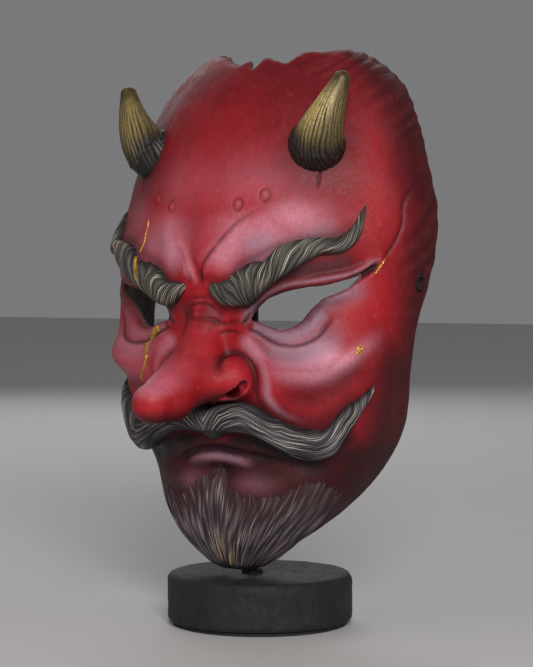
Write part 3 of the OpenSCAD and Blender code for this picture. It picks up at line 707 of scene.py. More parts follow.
# painted highlight on the top of the nose, strongest at its tip, painted shade on its underside, and near black painted
# shade in the nostrils
tip = np.exp(-((y + 84) / 16) ** 2) * on_nose
nostril = np.exp(-((np.abs(x) - 17.5) / 5) ** 2 - ((y + 43) / 4) ** 2 - ((high - 110) / 5.5) ** 2)
for key, values in (("light", (0.03 + 0.45 * tip) * on_nose * step_up(normals[:, 2], 0.0, 0.8)),
                    ("dark", 0.85 * (on_nose * step_up(-normals[:, 2], 0.1, 0.9))),
                    ("black", np.clip(1.5 * nostril - 0.3, 0, 1))):
    paint[key] = np.maximum(paint[key], values)


# ------------------------------------------------------------------ materials
def srgb(r, g, b):
    """sRGB 0-255 to the linear values that shaders take."""
    v = np.array([r, g, b], float) / 255
    v = np.where(v <= 0.04045, v / 12.92, ((v + 0.055) / 1.055) ** 2.4)
    return (*[float(x) for x in v], 1.0)


class Paint:
    """Small helper that strings shader nodes together. Colours are sRGB 0-255."""

    def __init__(self, name, roughness, **values):
        self.material = bpy.data.materials.new(name)
        self.material.use_nodes = True
        self.tree = self.material.node_tree
        self.shader = next(n for n in self.tree.nodes if n.type == "BSDF_PRINCIPLED")
        for key, value in {"Roughness": roughness, **values}.items():
            self.shader.inputs[key.replace("_", " ")].default_value = value
        self.place = self.node("TexCoord", "Object")

    def put(self, socket, value):
        if hasattr(value, "links"):
            self.tree.links.new(value, socket)
        else:
            socket.default_value = value

    def node(self, kind, output, inputs=None, **settings):
        """Adds a node, links or sets its inputs and gives one of its outputs."""
        n = self.tree.nodes.new("ShaderNode" + kind)
        for key, value in settings.items():
            setattr(n, key, value)
        for key, value in (inputs or {}).items():
            self.put(n.inputs[key], value)
        return n.outputs[output]

    def attribute(self, name):
        return self.node("Attribute", "Fac", attribute_name=name)

    def noise(self, scale, detail, rough=0.55, stretch=None, distortion=0.0):
        place = self.node("Mapping", "Vector", {"Vector": self.place, "Scale": stretch}) if stretch else self.place
        return self.node("TexNoise", "Fac", {"Scale": scale, "Detail": detail, "Roughness": rough,
                                             "Distortion": distortion, "Vector": place})

    def times(self, a, b, clamp=False, what="MULTIPLY"):
        return self.node("Math", "Value", {0: a, 1: b}, operation=what, use_clamp=clamp)

    def ramp(self, value, low, high, out_low=0.0, out_high=1.0):
        return self.node("MapRange", "Result", {"Value": value, "From Min": low, "From Max": high, "To Min": out_low,
                                                "To Max": out_high}, interpolation_type="SMOOTHSTEP")

    def mix(self, share, a, b):
        a, b = (srgb(*c) if isinstance(c, tuple) else c for c in (a, b))
        return self.node("Mix", "Result", {"Factor": share, "A": a, "B": b}, data_type="RGBA")

    def coats(self, colour, *coats):
        """Lays coats of (share, colour) over a colour."""
        for share, over in coats:
            colour = self.mix(share, colour, over)
        return colour

    def bump(self, height, strength, distance, under=None):
        inputs = {"Strength": strength, "Distance": distance, "Height": height}
        return self.node("Bump", "Normal", inputs if under is None else {**inputs, "Normal": under})

    def finish(self, colour, roughness=None, normal=None):
        for key, value in (("Base Color", colour), ("Roughness", roughness), ("Normal", normal)):
            if value is not None:
                self.put(self.shader.inputs[key], value)
        return self.material


def red_resin():
    p = Paint("red_resin", 0.45, Specular_IOR_Level=0.25)
    mid, small = p.noise(140, 5, 0.6), p.noise(900, 4, 0.65)
    brushed = p.noise(650, 4, 0.65, stretch=(1, 1, 0.8))
    streaks = p.noise(300, 6, 0.72, stretch=(1.5, 1.0, 0.55), distortion=0.4)
    edge, inside = p.attribute("edge"), p.attribute("inside")
    # coats over the red: pale dry brush on raised edges that paints their highlight, maroon painted shade, pink painted
    # highlight, olive streaks, lavender that is partly painted highlight, painted shade in the hollows, near-black wash
    # and painted shade, and dark paint inside
    colour = p.coats(
        p.mix(p.ramp(p.noise(28, 4), 0.35, 0.68), (142, 16, 26), (168, 26, 36)),
        (p.ramp(mid, 0.5, 0.8, 0, 0.5), (178, 44, 52)),
        (p.ramp(streaks, 0.52, 0.74, 0, 0.3), (196, 86, 94)),
        (p.times(p.ramp(edge, 0.6, 0.95), p.ramp(brushed, 0.38, 0.7, 0.0, 0.4)), (192, 96, 104)),
        (p.times(p.attribute("dark"), p.ramp(mid, 0.25, 0.75, 1.0, 0.9), True), (42, 11, 16)),
        (p.times(p.attribute("light"), p.ramp(brushed, 0.32, 0.68, 0.72, 1.0)), (216, 144, 162)),
        (p.times(p.attribute("olive"), p.ramp(brushed, 0.4, 0.65)), (92, 56, 44)),
        (p.times(p.attribute("lilac"), p.ramp(brushed, 0.32, 0.66, 0.68, 1.0)), (150, 122, 138)),
        (p.times(p.ramp(edge, 0.4, 0.05), 0.55), (62, 9, 16)),
        (p.times(p.attribute("black"), p.ramp(mid, 0.2, 0.7, 1.1, 0.8), True), (24, 11, 15)),
        (inside, p.mix(p.ramp(mid, 0.3, 0.7), (60, 50, 50), (84, 68, 66))))
    rough = p.times(p.ramp(small, 0.3, 0.7, 0.44, 0.58), p.times(inside, 0.25), what="ADD")
    normal = p.bump(mid, 0.25, 0.0011, p.bump(small, 0.22, 0.0004))
    return p.finish(colour, rough, p.bump(streaks, 0.3, 0.0006, normal))


def hair(name, valley, middle, crest, gold, gold_share):
    """Sculpted hair: dark between the strands, partly painted shade there, dry-brushed on them, which paints their
    highlight, with gold on some; the shade attribute lays painted shade over it.
    """
    p = Paint(name, 0.55)
    ridge_ = p.attribute("ridge")
    speck = p.noise(1500, 4, 0.7)
    on_top = p.times(p.ramp(ridge_, 0.36, 0.8), p.ramp(speck, 0.3, 0.6, 0.45, 1.0))
    shining = p.times(p.attribute("glint"), p.ramp(ridge_, 0.5, 0.85))
    colour = p.coats(
        p.mix(p.ramp(ridge_, 0.12, 0.5), valley, middle),
        (p.times(on_top, p.attribute("dry")), p.mix(p.ramp(p.attribute("tone"), 0.2, 0.8), crest, middle)),
        (p.times(shining, p.ramp(speck, 0.34, 0.56, 0.2, gold_share)), gold),
        (p.times(p.attribute("root"), p.ramp(ridge_, 0.1, 0.8, 1.0, 0.6)), (52, 17, 24)),
        (p.times(p.attribute("shade"), p.ramp(p.noise(160, 3), 0.2, 0.7, 1.0, 0.7)), (20, 17, 20)))
    return p.finish(colour, p.ramp(ridge_, 0.2, 0.9, 0.55 + 0.2, 0.55 - 0.12), p.bump(speck, 0.25, 0.0003))


def horn_paint():
    p = Paint("horn", 0.4, Metallic=0.3)
    groove = p.attribute("groove")
    speck, streak = p.noise(1100, 5, 0.7), p.noise(420, 4, 0.7, stretch=(1, 1, 0.12))
    # the gold coat follows the painted highlight; the dark in the grooves is partly painted shade; the foot is darker
    colour = p.coats(
        p.mix(p.ramp(streak, 0.3, 0.7), (48, 39, 22), (98, 81, 44)),
        (p.times(p.attribute("highlight"), p.ramp(speck, 0.3, 0.62, 0.25, 1.0)), (208, 184, 116)),
        (p.ramp(groove, 0.12, 0.6, 0, 0.92), (32, 25, 19)),
        (p.times(p.attribute("foot"), p.ramp(speck, 0.25, 0.7, 1.1, 0.7), True), (28, 25, 28)))
    normal = p.bump(streak, 0.35, 0.0005, p.bump(speck, 0.25, 0.0003))
    return p.finish(colour, p.ramp(groove, 0.2, 0.9, 0.42, 0.66), normal)


def simple(name, dark_, light_, roughness, metallic=0.0, scale=300, bump=0.2, distance=0.0003, grain=None):
    """Two close tones in soft patches, with flecks in its gloss and surface."""
    p = Paint(name, roughness, Metallic=metallic)
    n, fleck = p.noise(scale, 4, 0.6, stretch=grain), p.noise(scale * 4, 3, 0.6)
    rough = p.ramp(fleck, 0.3, 0.7, max(0.05, roughness - 0.08), min(1, roughness + 0.1))
    return p.finish(p.mix(p.ramp(n, 0.3, 0.7), dark_, light_), rough,
                    p.bump(fleck, bump, distance, p.bump(n, bump, distance * 2)))


BRUSHED = (1, 1, 0.05)
MAT = {
    "red_resin": red_resin(),
    "brow": hair("brow_hair", (27, 23, 24), (104, 98, 90), (212, 203, 178), (226, 208, 158), 0.6),
    "moustache": hair("moustache_hair", (29, 24, 27), (112, 106, 108), (208, 202, 202), (222, 198, 132), 0.7),
    "beard": hair("beard_hair", (32, 24, 28), (94, 80, 82), (176, 160, 160), (216, 178, 96), 0.95),
    "horn": horn_paint(),
    "gold": simple("gold_leaf", (176, 124, 44), (236, 190, 92), 0.32, 0.85, 900, 0.5),
    # the strap bushes are near black, which also paints the shade inside the strap holes
    "bush": simple("bush_paint", (24, 13, 13), (52, 26, 24), 0.65, 0.0, 500),
    "base": simple("base_paint", (17, 16, 18), (28, 27, 30), 0.75, 0.0, 120, 0.35, 0.0008),
    "dark_steel": simple("dark_steel", (34, 34, 36), (52, 52, 55), 0.45, 0.6, 800, 0.1, 0.0001, BRUSHED),
    "steel": simple("steel", (120, 124, 128), (170, 174, 178), 0.3, 0.9, 800, 0.1, 0.0001, BRUSHED),
    "black_plastic": simple("black_plastic", (24, 24, 26), (38, 38, 40), 0.5, 0.0, 900, 0.2, 0.0002),
    "rubber": simple("rubber", (18, 18, 18), (30, 30, 30), 0.8, 0.0, 700, 0.3),
    "foam": simple("foam_cloth", (48, 48, 53), (74, 74, 80), 0.92, 0.0, 1400, 0.6, 0.0005),
}
make("face_casting", points, quads, "mask", "face_shell", "red_resin", "red_resin", paint)


# ------------------------------------------------------------------ sculpted hair
ROOT_DEPTH = 1.6     # how far the back of a tuft is sunk into the face


def slab(t, z, high, low):
    """Closed quads between two lifts over the same grid of places on the face."""
    top, bottom = face_points(t, z, high)[0], face_points(t, z, low)[0]
    idx = np.arange(top[..., 0].size).reshape(top.shape[:2])
    a = np.stack([idx[:-1, :-1], idx[1:, :-1], idx[1:, 1:], idx[:-1, 1:]], -1).reshape(-1, 4)
    border = np.concatenate([idx[0, :], idx[1:, -1], idx[-1, -2::-1], idx[-2:0:-1, 0]])
    nxt = np.roll(border, -1)
    walls = np.stack([border, nxt, nxt + idx.size, border + idx.size], -1)
    points = np.concatenate([top.reshape(-1, 3), bottom.reshape(-1, 3)])
    return points, outward(points, np.concatenate([a, a[:, ::-1] + idx.size, walls]))


def tuft(name, node, material, t, z, lift, shade, **values):
    """A piece of hair; its back is in full shade and has no other values."""
    values = {key: np.append(np.broadcast_to(v, lift.shape), np.zeros(lift.shape)) for key, v in values.items()}
    values["shade"] = np.append(shade, np.ones(lift.shape))
    make(name, *slab(t, z, lift, -ROOT_DEPTH), "mask", node, "hair", material, values)


def strand_ridges(phase, along_mm, seed, sharp):
    """Height of packed strands, 0 in the gaps to 1 on the crests, and each strand's own random number."""
    k = np.floor(phase)
    crest = np.clip(1 - np.abs(2 * (phase - k) - 1), 0, 1) ** sharp
    own = hashed(k, seed)
    fade = 0.72 + 0.28 * np.sin(along_mm * (0.16 + 0.2 * hashed(k, seed + 3)) + 6.3 * own)
    return crest * (0.55 + 0.45 * own) * fade, own


def walk(line, shares):
    """The first two columns of a line, at shares of the way along it."""
    return np.stack([np.interp(shares, np.linspace(0, 1, len(line)), line[:, c]) for c in (0, 1)], -1)


def hair_piece(name, node, side, lower, upper, thick, lean, pitch, counts, material, seed, jag, ridge_mm, glint_line,
               lengthwise=False, dim_from=0.99):
    """A tuft between two lines on the face, lower and upper, with combed strands. lean is how far a strand moves
    along the tuft for each millimetre that it rises across it. A lengthwise one is combed along itself and starts
    with a cut face."""
    u, v = (np.linspace(low, 1, n) for low, n in zip((0, -1), counts))
    lo_line, up_line = (walk(spread(line, 0.5), u) for line in (lower, upper))
    s = lengths(on_arc((lo_line + up_line) / 2))
    H = (np.hypot(*(on_arc(up_line) - on_arc(lo_line)).T) / 2)[:, None]
    S, V = np.meshgrid(s, v, indexing="ij")
    Q = V * H

    def lean_at(x):
        return np.interp(x, *zip(*lean))

    halfway = (s[1:] + s[:-1]) / 2
    bend = lean_at(s)[:, None]
    if lengthwise:
        drift = np.concatenate([[0], np.cumsum(np.diff(s) / lean_at(halfway))])
        phase = (Q - drift[:, None]) / np.sqrt(1 + 1 / bend ** 2)
        along_mm = S
    else:
        rate = np.concatenate([[0], np.cumsum(np.diff(s) / np.sqrt(1 + lean_at(halfway) ** 2))])
        start = S - Q * bend
        steep = np.sqrt(1 + bend ** 2)
        along_mm = Q * steep
        phase = (np.interp(start, s, rate) + np.where(start < 0, start / steep, 0)
                 + np.where(start > s[-1], (start - s[-1]) / steep, 0))
    warp = noise(S, Q, seed, 7) * 0.9 + noise(S, Q, seed + 20, 3) * 0.34
    lock = pitch * 3.1
    big, own = strand_ridges((phase + warp) / lock, along_mm, seed, 0.7)
    middle, own_middle = strand_ridges((phase + warp * 1.1) / pitch, along_mm, seed + 1, 0.6)
    tiny, _ = strand_ridges((phase + warp * 1.2) / (pitch * 0.45), along_mm, seed + 2, 0.8)
    # the outline is bitten into by the ends of the strands
    bite = jag * (0.5 * hashed(np.floor((phase + warp) / lock), seed + 5)
                  + 0.5 * hashed(np.floor((phase + warp) / pitch), seed + 6))
    reach = (V * (1 - bite / np.maximum(H, 1.0) * np.abs(V) ** 6))[..., None]
    line = lo_line[:, None, :] * (1 - reach) / 2 + up_line[:, None, :] * (1 + reach) / 2
    T = np.interp(s / s[-1], *zip(*thick))[:, None]
    dome = np.clip(1 - np.abs(V) ** 2.4, 0, 1) ** 0.55
    to_end = s[-1] - s if lengthwise else np.minimum(s, s[-1] - s)
    end_in = np.clip(to_end / 2.5, 0, 1)[:, None] ** 0.5
    relief = 0.36 * (big - 0.4) + 0.5 * (middle - 0.4) + 0.22 * (tiny - 0.4)
    lift = T * dome * end_in + ridge_mm * relief * (0.35 + 0.65 * dome) * end_in * np.minimum(1, T / 2.5)
    lift[np.abs(V) > 0.999] = -0.4
    lift[-1 if lengthwise else [0, -1]] = -0.4
    # painted shade along both edges of the tuft and over its lower half, and darker towards the end of the tail from
    # dim_from on; the dry brush thins on the lower half, which paints that half as turned from the light
    shade = np.maximum(np.clip(1.15 * np.abs(V) ** 3, 0, 1), step_up(-V, 0.05, 0.95) * 0.85)
    tuft(name, node, material, side * line[..., 0], line[..., 1], lift,
         shade=np.maximum(shade, 0.7 * step_up(S / s[-1], dim_from, 1.0)),
         ridge=np.clip((0.24 * big + 0.56 * middle + 0.34 * tiny - 0.22) / 0.52, 0, 1), tone=own,
         glint=np.where(own_middle > 0.45, 1.0, 0.25) * bell(V - glint_line, 0.55),
         dry=step_up(dome * (1 - 0.35 * np.clip(-V, 0, 1)), 0.35, 0.9))


SIDES = ((1, "right"), (-1, "left"))
BROW_UPPER = [(7, 160.4), (11, 161.2), (16, 161.4), (20, 166), (27, 169.8), (33, 171), (36, 174.4), (41, 177.2),
              (49, 179.6), (56, 179.8), (60, 182.4), (63.5, 187.5), (66, 191.5), (68.6, 195)]
BROW_LOWER = [(7, 156.6), (10, 153.4), (15, 149.8), (21, 149.4), (25, 150.8), (30, 154.2), (34, 158), (40, 163.8),
              (46, 168.6), (52, 171.8), (59, 173.2), (63, 177), (66, 183.3), (68.4, 194)]
BROW_LEAN = [(0, -1.7), (7, -1.2), (14, -0.5), (22, 0.2), (30, 0.9), (40, 1.6), (60, 2.2), (90, 3.0)]
MOUSTACHE_UPPER = [(0.15, 104.5), (4, 106), (8, 107), (18, 107.6), (27, 105), (35, 100.5), (42, 97.4), (50, 95),
                   (55, 95.4), (57.8, 99.2), (60.6, 104), (63.7, 107.4), (67, 110.8), (71.4, 115)]
MOUSTACHE_LOWER = [(0.15, 87.8), (6, 89.8), (14, 91.4), (24, 91.5), (30, 89.7), (38, 86.6), (46, 83), (52, 82),
                   (57, 82.4), (60.8, 85), (63, 91), (65.2, 97), (68, 105), (71.1, 114.6)]
MOUSTACHE_LEAN = [(0, 0.6), (4, 1.0), (9, 2.2), (16, 6), (24, 40), (40, 40), (62, 12), (74, 3.0), (80, 1.9), (120, 2.0)]
for side, word in SIDES:
    hair_piece(f"{word}_brow_hair", f"{word}_eyebrow", side, BROW_LOWER, BROW_UPPER,
               [(0, 3.2), (0.12, 5.6), (0.4, 6.6), (0.7, 5.2), (0.86, 4.2), (1, 1.0)], BROW_LEAN, 0.68,
               (760, 84), "brow", 3 + side, jag=1.5, ridge_mm=0.85, glint_line=0.0, dim_from=0.78)
for side, word in SIDES:
    hair_piece(f"{word}_moustache_hair", f"{word}_moustache", side, MOUSTACHE_LOWER, MOUSTACHE_UPPER,
               [(0, 9.6), (0.1, 9.6), (0.3, 9.2), (0.6, 7.6), (0.8, 6.0), (0.93, 3.8), (1, 1.0)],
               MOUSTACHE_LEAN, 0.74, (320, 150), "moustache", 31 + side, jag=1.0, ridge_mm=1.5, glint_line=0.2,
               lengthwise=True)

BEARD_TOP = [(-76, 60), (-68, 62), (-60, 68), (-52, 66), (-44, 63), (-34, 59.5), (-24, 63.5), (-14, 69), (-8, 73),
             (-3, 75.6), (2, 73), (6, 67), (11, 64.5), (17, 63), (25, 62), (38, 64), (47, 68), (56, 70),
             (64, 66), (70, 62), (76, 60)]
BEARD_TIP = 28.6


def beard():
    nu, nv = ((520, 150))
    a, b = np.linspace(0, 1, nu), np.linspace(0, 1, nv)
    top_t, top_z = walk(spread(BEARD_TOP, 0.4), a).T[..., None]
    A, B = np.meshgrid(a, b, indexing="ij")    # B runs from the tip up to the ragged top
    tufts = (4.4 * (hashed(np.floor(A * 58), 4) - 0.3) * zigzag(A * 58) ** 1.4
             + 3.0 * hashed(np.floor(A * 150), 9) * zigzag(A * 150) - 0.6)
    z = BEARD_TIP + (top_z + tufts - BEARD_TIP) * B
    # the sides follow the edge of the chin, and the strands draw together towards the tip
    share = top_t / np.maximum(curve(SECTIONS, top_z, 4), 1)
    share = np.sign(share) * np.abs(share) ** (1 + 0.12 * (1 - B))
    mm = A * 150
    bend = noise(mm, B * 40, 3, 14) * 1.6 + noise(mm, B * 40, 8, 5) * 0.35
    big, own = strand_ridges((mm + bend * 2) / 4.6, B * 50, 41, 0.75)
    middle, own_middle = strand_ridges((mm + bend) / 1.6, B * 50, 42, 0.6)
    tiny, _ = strand_ridges((mm + bend) / 0.8, B * 50, 43, 0.8)
    edge = np.clip(np.minimum(A, 1 - A) / 0.035, 0, 1) ** 0.5
    thick = np.interp(b, [0, 0.12, 0.4, 0.65, 0.82, 0.93, 1], [2.4, 5.0, 5.8, 3.6, 1.5, 0.6, 0.15])[None, :]
    thick = thick * (1 - 0.45 * np.abs(share) ** 2) * edge
    relief = 1.1 * (big - 0.4) + 0.6 * (middle - 0.4) + 0.24 * (tiny - 0.4)
    lift = np.maximum(thick + relief * np.minimum(1, thick / 1.6) * (0.35 + 0.65 * step_up(B, 0, 0.25)), 0.05)
    lift[:, [0, -1]] = lift[[0, -1]] = -0.4
    # painted shade on the sides of the beard and at its tip; the dry brush thins towards the sides
    tuft("beard_hair", "beard", "beard", share * (curve(SECTIONS, z, 4) * 0.985), z, lift,
         shade=np.clip(0.9 * np.abs(share) ** 3 + 0.7 * step_up(B, 0.16, 0.0), 0, 1),
         root=step_up(B + 0.2 * (own_middle - 0.5), 0.5, 0.98),
         ridge=np.clip((0.34 * big + 0.46 * middle + 0.34 * tiny - 0.24) / 0.5, 0, 1), tone=own,
         glint=(np.where(own_middle > 0.6, 1.0, 0.1) * bell(share - 0.06, 0.16) * step_up(B, 0.05, 0.15)
                * step_up(B, 0.6, 0.35)),
         dry=1 - 0.5 * np.abs(share))


beard()

# ------------------------------------------------------------------ horns
HORN_ANGLE, HORN_HEIGHT, HORN_SUNK, HORN_BEND, HORN_LEAN = 54, 222, 2.3, 9, np.array([13.8, -1.1, 27.7])
HORN_FOOT_R, HORN_TIP_R, HORN_LANES = 13.5, 4.0, 30


def rings(points):
    """Indices of points in closed rings, and the quads between each ring and the next."""
    idx = np.arange(points[..., 0].size).reshape(points.shape[:2])
    nxt = np.roll(idx, -1, axis=1)
    return idx, np.stack([idx[:-1], nxt[:-1], nxt[1:], idx[1:]], -1)


def fan(ring, middle, upper):
    """Quads from a ring to the point in its middle, one for each two steps."""
    a, b, m = ring[0::2], ring[1::2], np.full(len(ring) // 2, middle)
    return np.stack([a, b, np.roll(a, -1), m] if upper else [a, m, np.roll(a, -1), b], -1)


def horn(side, word):
    around, up = ((240, 150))
    foot, out = (v[0] for v in face_points(np.array([HORN_ANGLE]), np.array([HORN_HEIGHT])))
    a, b, c = foot - out * HORN_SUNK, foot + out * HORN_BEND, foot + HORN_LEAN
    f = np.linspace(0, 1, up)
    line = ((1 - f) ** 2)[:, None] * a + (2 * f * (1 - f))[:, None] * b + (f ** 2)[:, None] * c
    ahead = unit(np.gradient(line, axis=0))
    radius = HORN_FOOT_R + (HORN_TIP_R - HORN_FOOT_R) * f ** 1.3
    # the round cap
    cap = np.linspace(0, math.pi / 2, 14)[1:]
    line = np.concatenate([line, line[-1] + ahead[-1] * (np.sin(cap) * HORN_TIP_R)[:, None]])
    ahead = np.concatenate([ahead, np.repeat(ahead[-1:], len(cap), 0)])
    radius = np.concatenate([radius, HORN_TIP_R * np.maximum(np.cos(cap), 0.02)])
    e1 = unit(np.cross(ahead, np.cross(np.array([1.0, 0, 0]), ahead)))
    e2 = np.cross(ahead, e1)
    W, F = np.meshgrid(np.linspace(0, 2 * math.pi, around, endpoint=False), np.append(f, np.ones(len(cap))))
    cw, sw = np.cos(W), np.sin(W)
    lane = (W + 0.25 * F + 0.06 * noise(W * 3, F * 4, side, 1.0)) / (2 * math.pi) * HORN_LANES
    number = np.floor(lane) % HORN_LANES
    groove = np.abs(((lane + 0.35 * noise(cw * 6, sw * 6, F * 5, 1.4)) % 1) * 2 - 1)
    groove = np.clip((groove - 0.52) / 0.46, 0, 1) ** 1.4
    length = 0.5 + 0.5 * hashed(number, 5 + side)
    groove = groove * np.clip((length + 0.12 - F) / 0.18, 0, 1) * (0.45 + 0.55 * hashed(number, 8))
    hairline = np.abs((lane * 3.1 + 0.5 * noise(cw * 9, sw * 9, F * 8, 1.0)) % 1 * 2 - 1) ** 3
    r = (radius[:, None] - groove * 1.05 * (1 - 0.55 * F) - 0.14 * hairline * (1 - 0.4 * F)
         + 0.18 * noise(cw * 8, sw * 8, F * 10, 3.0) * (1 - F))
    # torn cuff of casting around the foot
    cuff = bell(F - 0.20 - 0.02 * np.sin(5 * W) - 0.025 * noise(cw * 12, sw * 12, 0, 2.2), 0.030)
    r = r + 0.9 * cuff * (0.5 + 0.5 * noise(cw * 14, sw * 14, 3, 1.6))
    pts = line[:, None, :] + e1[:, None, :] * (cw * r)[..., None] + e2[:, None, :] * (sw * r)[..., None]
    idx, faces = rings(pts)
    flat = pts.reshape(-1, 3)
    n = len(flat)
    flat = np.concatenate([flat, flat[idx[0]].mean(0)[None], (flat[idx[-1]].mean(0) + ahead[-1] * 0.02)[None]])
    faces = np.concatenate([faces.reshape(-1, 4), fan(idx[0], n, False), fan(idx[-1], n + 1, True)])
    flat = flat * np.array([side, 1, 1])
    # gold dry brush laid as painted highlight, most on the lit side of each horn and half as strong on the left horn
    highlight = (step_up(F, 0.2, 0.62) * step_up(1.02 - F, 0.0, 0.25) * (0.2 + 0.8 * np.clip(np.cos(W - 4.2), 0, 1) ** 2)
            * (1.0 if side > 0 else 0.5))
    foot_dark = step_up(0.44 + 0.08 * noise(cw * 10, sw * 10, 1, 2.0) - F, 0.0, 0.26)
    values = {"groove": np.clip(groove + 0.35 * hairline, 0, 1), "foot": foot_dark, "highlight": highlight}
    make(f"{word}_horn_carved", flat, outward(flat, faces), "mask", f"{word}_horn", "horn", "horn",
         {key: np.append(v, [0.0, 0.0]) for key, v in values.items()})


for side, word in SIDES:
    horn(side, word)


# ------------------------------------------------------------------ gold mends
def seam(part, lift, rows, seed):
    """A thin crowned bead of gold along a line of (angle, height, half width)."""
    line = spread(rows, 0.25)
    arc = on_arc(line)
    along_ = unit(np.gradient(arc, axis=0))
    s = np.arange(len(line)) * 0.25
    half = line[:, 2] * (1 + 0.35 * noise(s, seed, 0, 1.6) + 0.2 * noise(s, seed, 9, 0.7))
    half *= np.clip(np.minimum(s, s[-1] - s) / 1.2, 0.05, 1) ** 0.5
    v = np.linspace(-1, 1, 13)
    Q = half[:, None] * v[None] + (0.35 * noise(s, seed, 30, 3.0))[:, None]
    t, z = line[:, 0], line[:, 1]
    scale = (sample(ARC, t + 0.5, z) - sample(ARC, t - 0.5, z))[:, None]
    a = arc[:, 0][:, None] - Q * along_[:, 1][:, None]
    z_ = arc[:, 1][:, None] + Q * along_[:, 0][:, None]
    t_ = t[:, None] + (a - arc[:, 0][:, None]) / scale
    under = sample(fine, t_, z_) + lift
    h = under + 0.45 * np.sqrt(np.clip(1 - v[None] ** 2, 0, 1)) * (
        0.8 + 0.4 * noise(s[:, None], v[None] * 2, seed, 1.1))
    h[:, [0, -1]] -= 0.5
    h[[0, -1], :] -= 0.5
    make(f"gold_mend_{part}", *slab(t_, z_, h, under - 1.0), "mask", f"gold_{part}_seam", "gold", "gold")


for seed, (part, lift, rows) in enumerate((
        ("forehead", 0.0, [(-34.4, 189, 0.45), (-35, 184.5, 0.55), (-35.3, 179.8, 0.6), (-34.6, 174, 0.6)]),
        ("brow", 6.4, [(-29.4, 171, 0.5), (-30.2, 168.5, 0.9), (-30.8, 166, 0.6), (-31, 163.5, 0.4)]),
        ("cheek", 0.0, [(-29.6, 139.2, 2.2), (-31.6, 137, 1.5), (-33.6, 133.6, 1.15), (-34.9, 129.6, 0.95),
                        (-36.5, 124.8, 0.8), (-38.8, 119.6, 0.6), (-42.9, 113.8, 0.4)]),
        ("eye", 0.3, [(73.2, 170.6, 0.35), (71.3, 167, 0.6), (69.6, 163.4, 0.4)])), 1):
    seam(part, lift, rows, seed)


def cross():
    """Two plain crossed scratches on the cheek."""
    low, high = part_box("gold_cheek_cross")
    x0, y0, z0 = np.array((low + high) / 2) / MM
    t0 = math.degrees(math.atan2(x0, SECTION_Y - y0))
    k = float(sample(ARC, t0 + 0.5, z0) - sample(ARC, t0 - 0.5, z0))
    A, V = np.meshgrid(np.linspace(-1, 1, 25), np.linspace(-1, 1, 9), indexing="ij")
    wide = 0.62 * np.clip(1 - A ** 6, 0.1, 1)
    h = 0.45 * np.sqrt(np.clip(1 - V ** 2, 0, 1)) * np.clip(1 - A ** 4, 0, 1) ** 0.5 + 0.4
    h[:, [0, -1]] = h[[0, -1]] = -0.4
    bars = []
    for turn, half_len in ((38, 3.2), (122, 2.9)):
        c, s = math.cos(math.radians(turn)), math.sin(math.radians(turn))
        px, pz = A * half_len * c - V * wide * s, A * half_len * s + V * wide * c
        bars.append(slab(t0 + px / k, z0 + pz, h, -1.0))
    (points, faces), (more_points, more_faces) = bars
    make("gold_crossed_nicks", np.concatenate([points, more_points]),
         np.concatenate([faces, more_faces + len(points)]), "mask", "gold_cheek_cross", "gold", "gold")


cross()


# ------------------------------------------------------------------ foam pads behind the shell
def pad(name, node, t_low, t_high, z_low, z_high, thick):
    """A crowned cushion whose sides pull in, with a stitched line inside its edge."""
    U, V = np.meshgrid(np.linspace(-1, 1, 60), np.linspace(-1, 1, 50), indexing="ij")
    corner = 1 - 0.10 * np.abs(U) ** 8 * np.abs(V) ** 8
    t = (t_low + t_high) / 2 + (t_high - t_low) / 2 * U * (1 - 0.05 * (1 - np.abs(V) ** 2)) * corner
    z = (z_low + z_high) / 2 + (z_high - z_low) / 2 * V * corner * (1 - 0.04 * (1 - np.abs(U) ** 2))
    puff = (np.clip(1 - np.abs(U) ** 5, 0, 1) * np.clip(1 - np.abs(V) ** 5, 0, 1)) ** 0.42
    puff = puff * (1 + 0.05 * noise(U * 5, V * 5, 2, 1.6))
    stitch = 0.5 * bell(np.maximum(np.abs(U), np.abs(V)) - 0.84, 0.03)
    depth = -WALL - 0.4 - np.maximum(thick * puff - stitch, 0.15)
    obj = make(name, *slab(t, z, depth, -WALL - 0.35), "mask", node, "foam", "foam")


pad("forehead_cushion", "forehead_pad", -26, 26, 196, 221, 7)
pad("left_cheek_cushion", "left_cheek_pad", -74, -54, 103, 123, 6)
pad("right_cheek_cushion", "right_cheek_pad", 54, 74, 103, 123, 6)


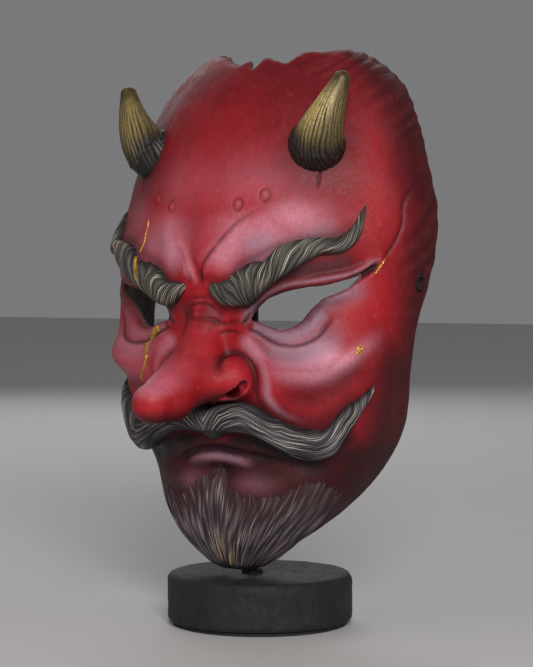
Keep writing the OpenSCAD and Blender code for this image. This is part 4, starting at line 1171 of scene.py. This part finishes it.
# ------------------------------------------------------------------ stand
def hewn_base():
    """The round base with its worn rim and slightly uneven side."""
    low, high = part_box("stand_base")
    r0, foot, top = (high.x - low.x) / 2 / MM, low.z / MM, high.z / MM
    profile = [(0.0, foot), (0.5, foot), (0.90, foot), (0.975, foot + 0.5), (0.995, foot + 1.6)]
    profile += [(1.0 - 0.004 * math.sin(3 * f), foot + 1.6 + (top - foot - 3.4) * f) for f in np.linspace(0.06, 1, 16)]
    profile += [(0.992, top - 0.9), (0.975, top - 0.3), (0.95, top - 0.05)]
    profile += [(f, top) for f in (0.9, 0.8, 0.65, 0.5, 0.3, 0.1, 0.0)]
    w = np.linspace(0, 2 * math.pi, 360, endpoint=False)
    R, H = (column[:, None] for column in np.array(profile).T)
    R, H = R * r0, H + 0 * w[None]
    cw, sw = np.cos(w)[None], np.sin(w)[None]
    side_share = step_up(R / r0, 0.9, 1.0)
    chips = noise(cw * r0, sw * r0, H, 7) * 0.35 + noise(cw * r0, sw * r0, H * 0.4, 2.6) * 0.22
    rim_line = bell(H - top + 0.8, 1.6) * side_share
    R = R - side_share * (0.45 + 0.9 * np.clip(chips, -1, 1)) - rim_line * 0.5 * (1 + noise(cw * r0, sw * r0, 3, 4))
    H = (H - rim_line * 0.35 * (1 + noise(cw * r0, sw * r0, 8, 3.2))
         + 0.12 * noise(cw * R, sw * R, 1, 6) * (H > top - 0.01))
    pts = np.stack([R * cw, R * sw, H], -1)
    idx, faces = rings(pts)
    faces = np.concatenate([faces[1:-1].reshape(-1, 4), fan(idx[1], idx[0, 0], False), fan(idx[-2], idx[-1, 0], True)])
    used, faces = np.unique(faces, return_inverse=True)
    flat, faces = pts.reshape(-1, 3)[used], faces.reshape(-1, 4)
    make("hewn_base", flat, outward(flat, faces), "stand", "stand_base", "base_paint", "base")


hewn_base()

# the parts that are shown as they come from the CAD
CARRIED = {"stand_foot_pad": "rubber", "stand_post": "dark_steel", "post_collar": "black_plastic",
           "base_screw": "steel", "crown_rest": "black_plastic", "crown_pad": "rubber", "chin_arm": "black_plastic",
           "chin_arm_screw": "steel", "chin_bumper": "rubber", "horn_screws": "steel", "horn_washers": "steel",
           "left_strap_bush": "bush", "right_strap_bush": "bush"}
for name, material in CARRIED.items():
    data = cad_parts[name].data
    data.materials.clear()
    data.materials.append(MAT[material])

# ------------------------------------------------------------------ floor, light and camera
floor_mesh = bpy.data.meshes.new("floor")
floor_mesh.from_pydata([(-6, -6, 0), (6, -6, 0), (6, 6, 0), (-6, 6, 0)], [], [(0, 1, 2, 3)])
floor = add_object("floor", floor_mesh)
p = Paint("floor_paint", 0.85)
floor_mesh.materials.append(p.finish(p.mix(p.noise(3, 2), (196, 194, 192), (204, 202, 200))))

world = bpy.data.worlds.new("studio")
bpy.context.scene.world = world
world.use_nodes = True
background = next(n for n in world.node_tree.nodes if n.type == "BACKGROUND")
background.inputs["Color"].default_value = (0.80, 0.80, 0.82, 1)
background.inputs["Strength"].default_value = 0.24

TURN, RISE, FAR = math.radians(37), math.radians(1.45), 0.950
right, upward = np.array([math.cos(TURN), math.sin(TURN), 0]), np.array([0, 0, 1])
back = np.array([math.sin(TURN) * math.cos(RISE), -math.cos(TURN) * math.cos(RISE), math.sin(RISE)])
target = right * 0.0031 + upward * 0.1361


def aim(obj, place, at):
    obj.location = Vector(place)
    obj.rotation_euler = (Vector(at) - Vector(place)).to_track_quat("-Z", "Y").to_euler()


# name, place from the target, power in watts, size in metres, colour
for name, place, power, size, colour in (
        ("key", back * 1.7 + right * 0.17 + upward * 0.62, 26, 0.55, (1.0, 0.98, 0.97)),
        ("fill", back * 0.6 - right * 1.4 + upward * 0.6, 1.6, 1.0, (1.0, 0.96, 0.94)),
        ("rear", -back * 1.5 - right * 0.2 + upward * 1.0, 8, 1.2, (0.96, 0.97, 1.0))):
    lamp = bpy.data.lights.new(name, "AREA")
    lamp.energy, lamp.size, lamp.color = power, size, colour
    aim(add_object(name, lamp), target + place, (0, 0, 0.14))

camera = add_object("camera", bpy.data.cameras.new("camera"))
camera.data.sensor_width, camera.data.lens = 36, 109.1
camera.data.clip_start, camera.data.clip_end = 0.05, 30
aim(camera, target + back * FAR, target)
bpy.context.scene.camera = camera
bpy.context.scene.view_settings.view_transform = "Standard"
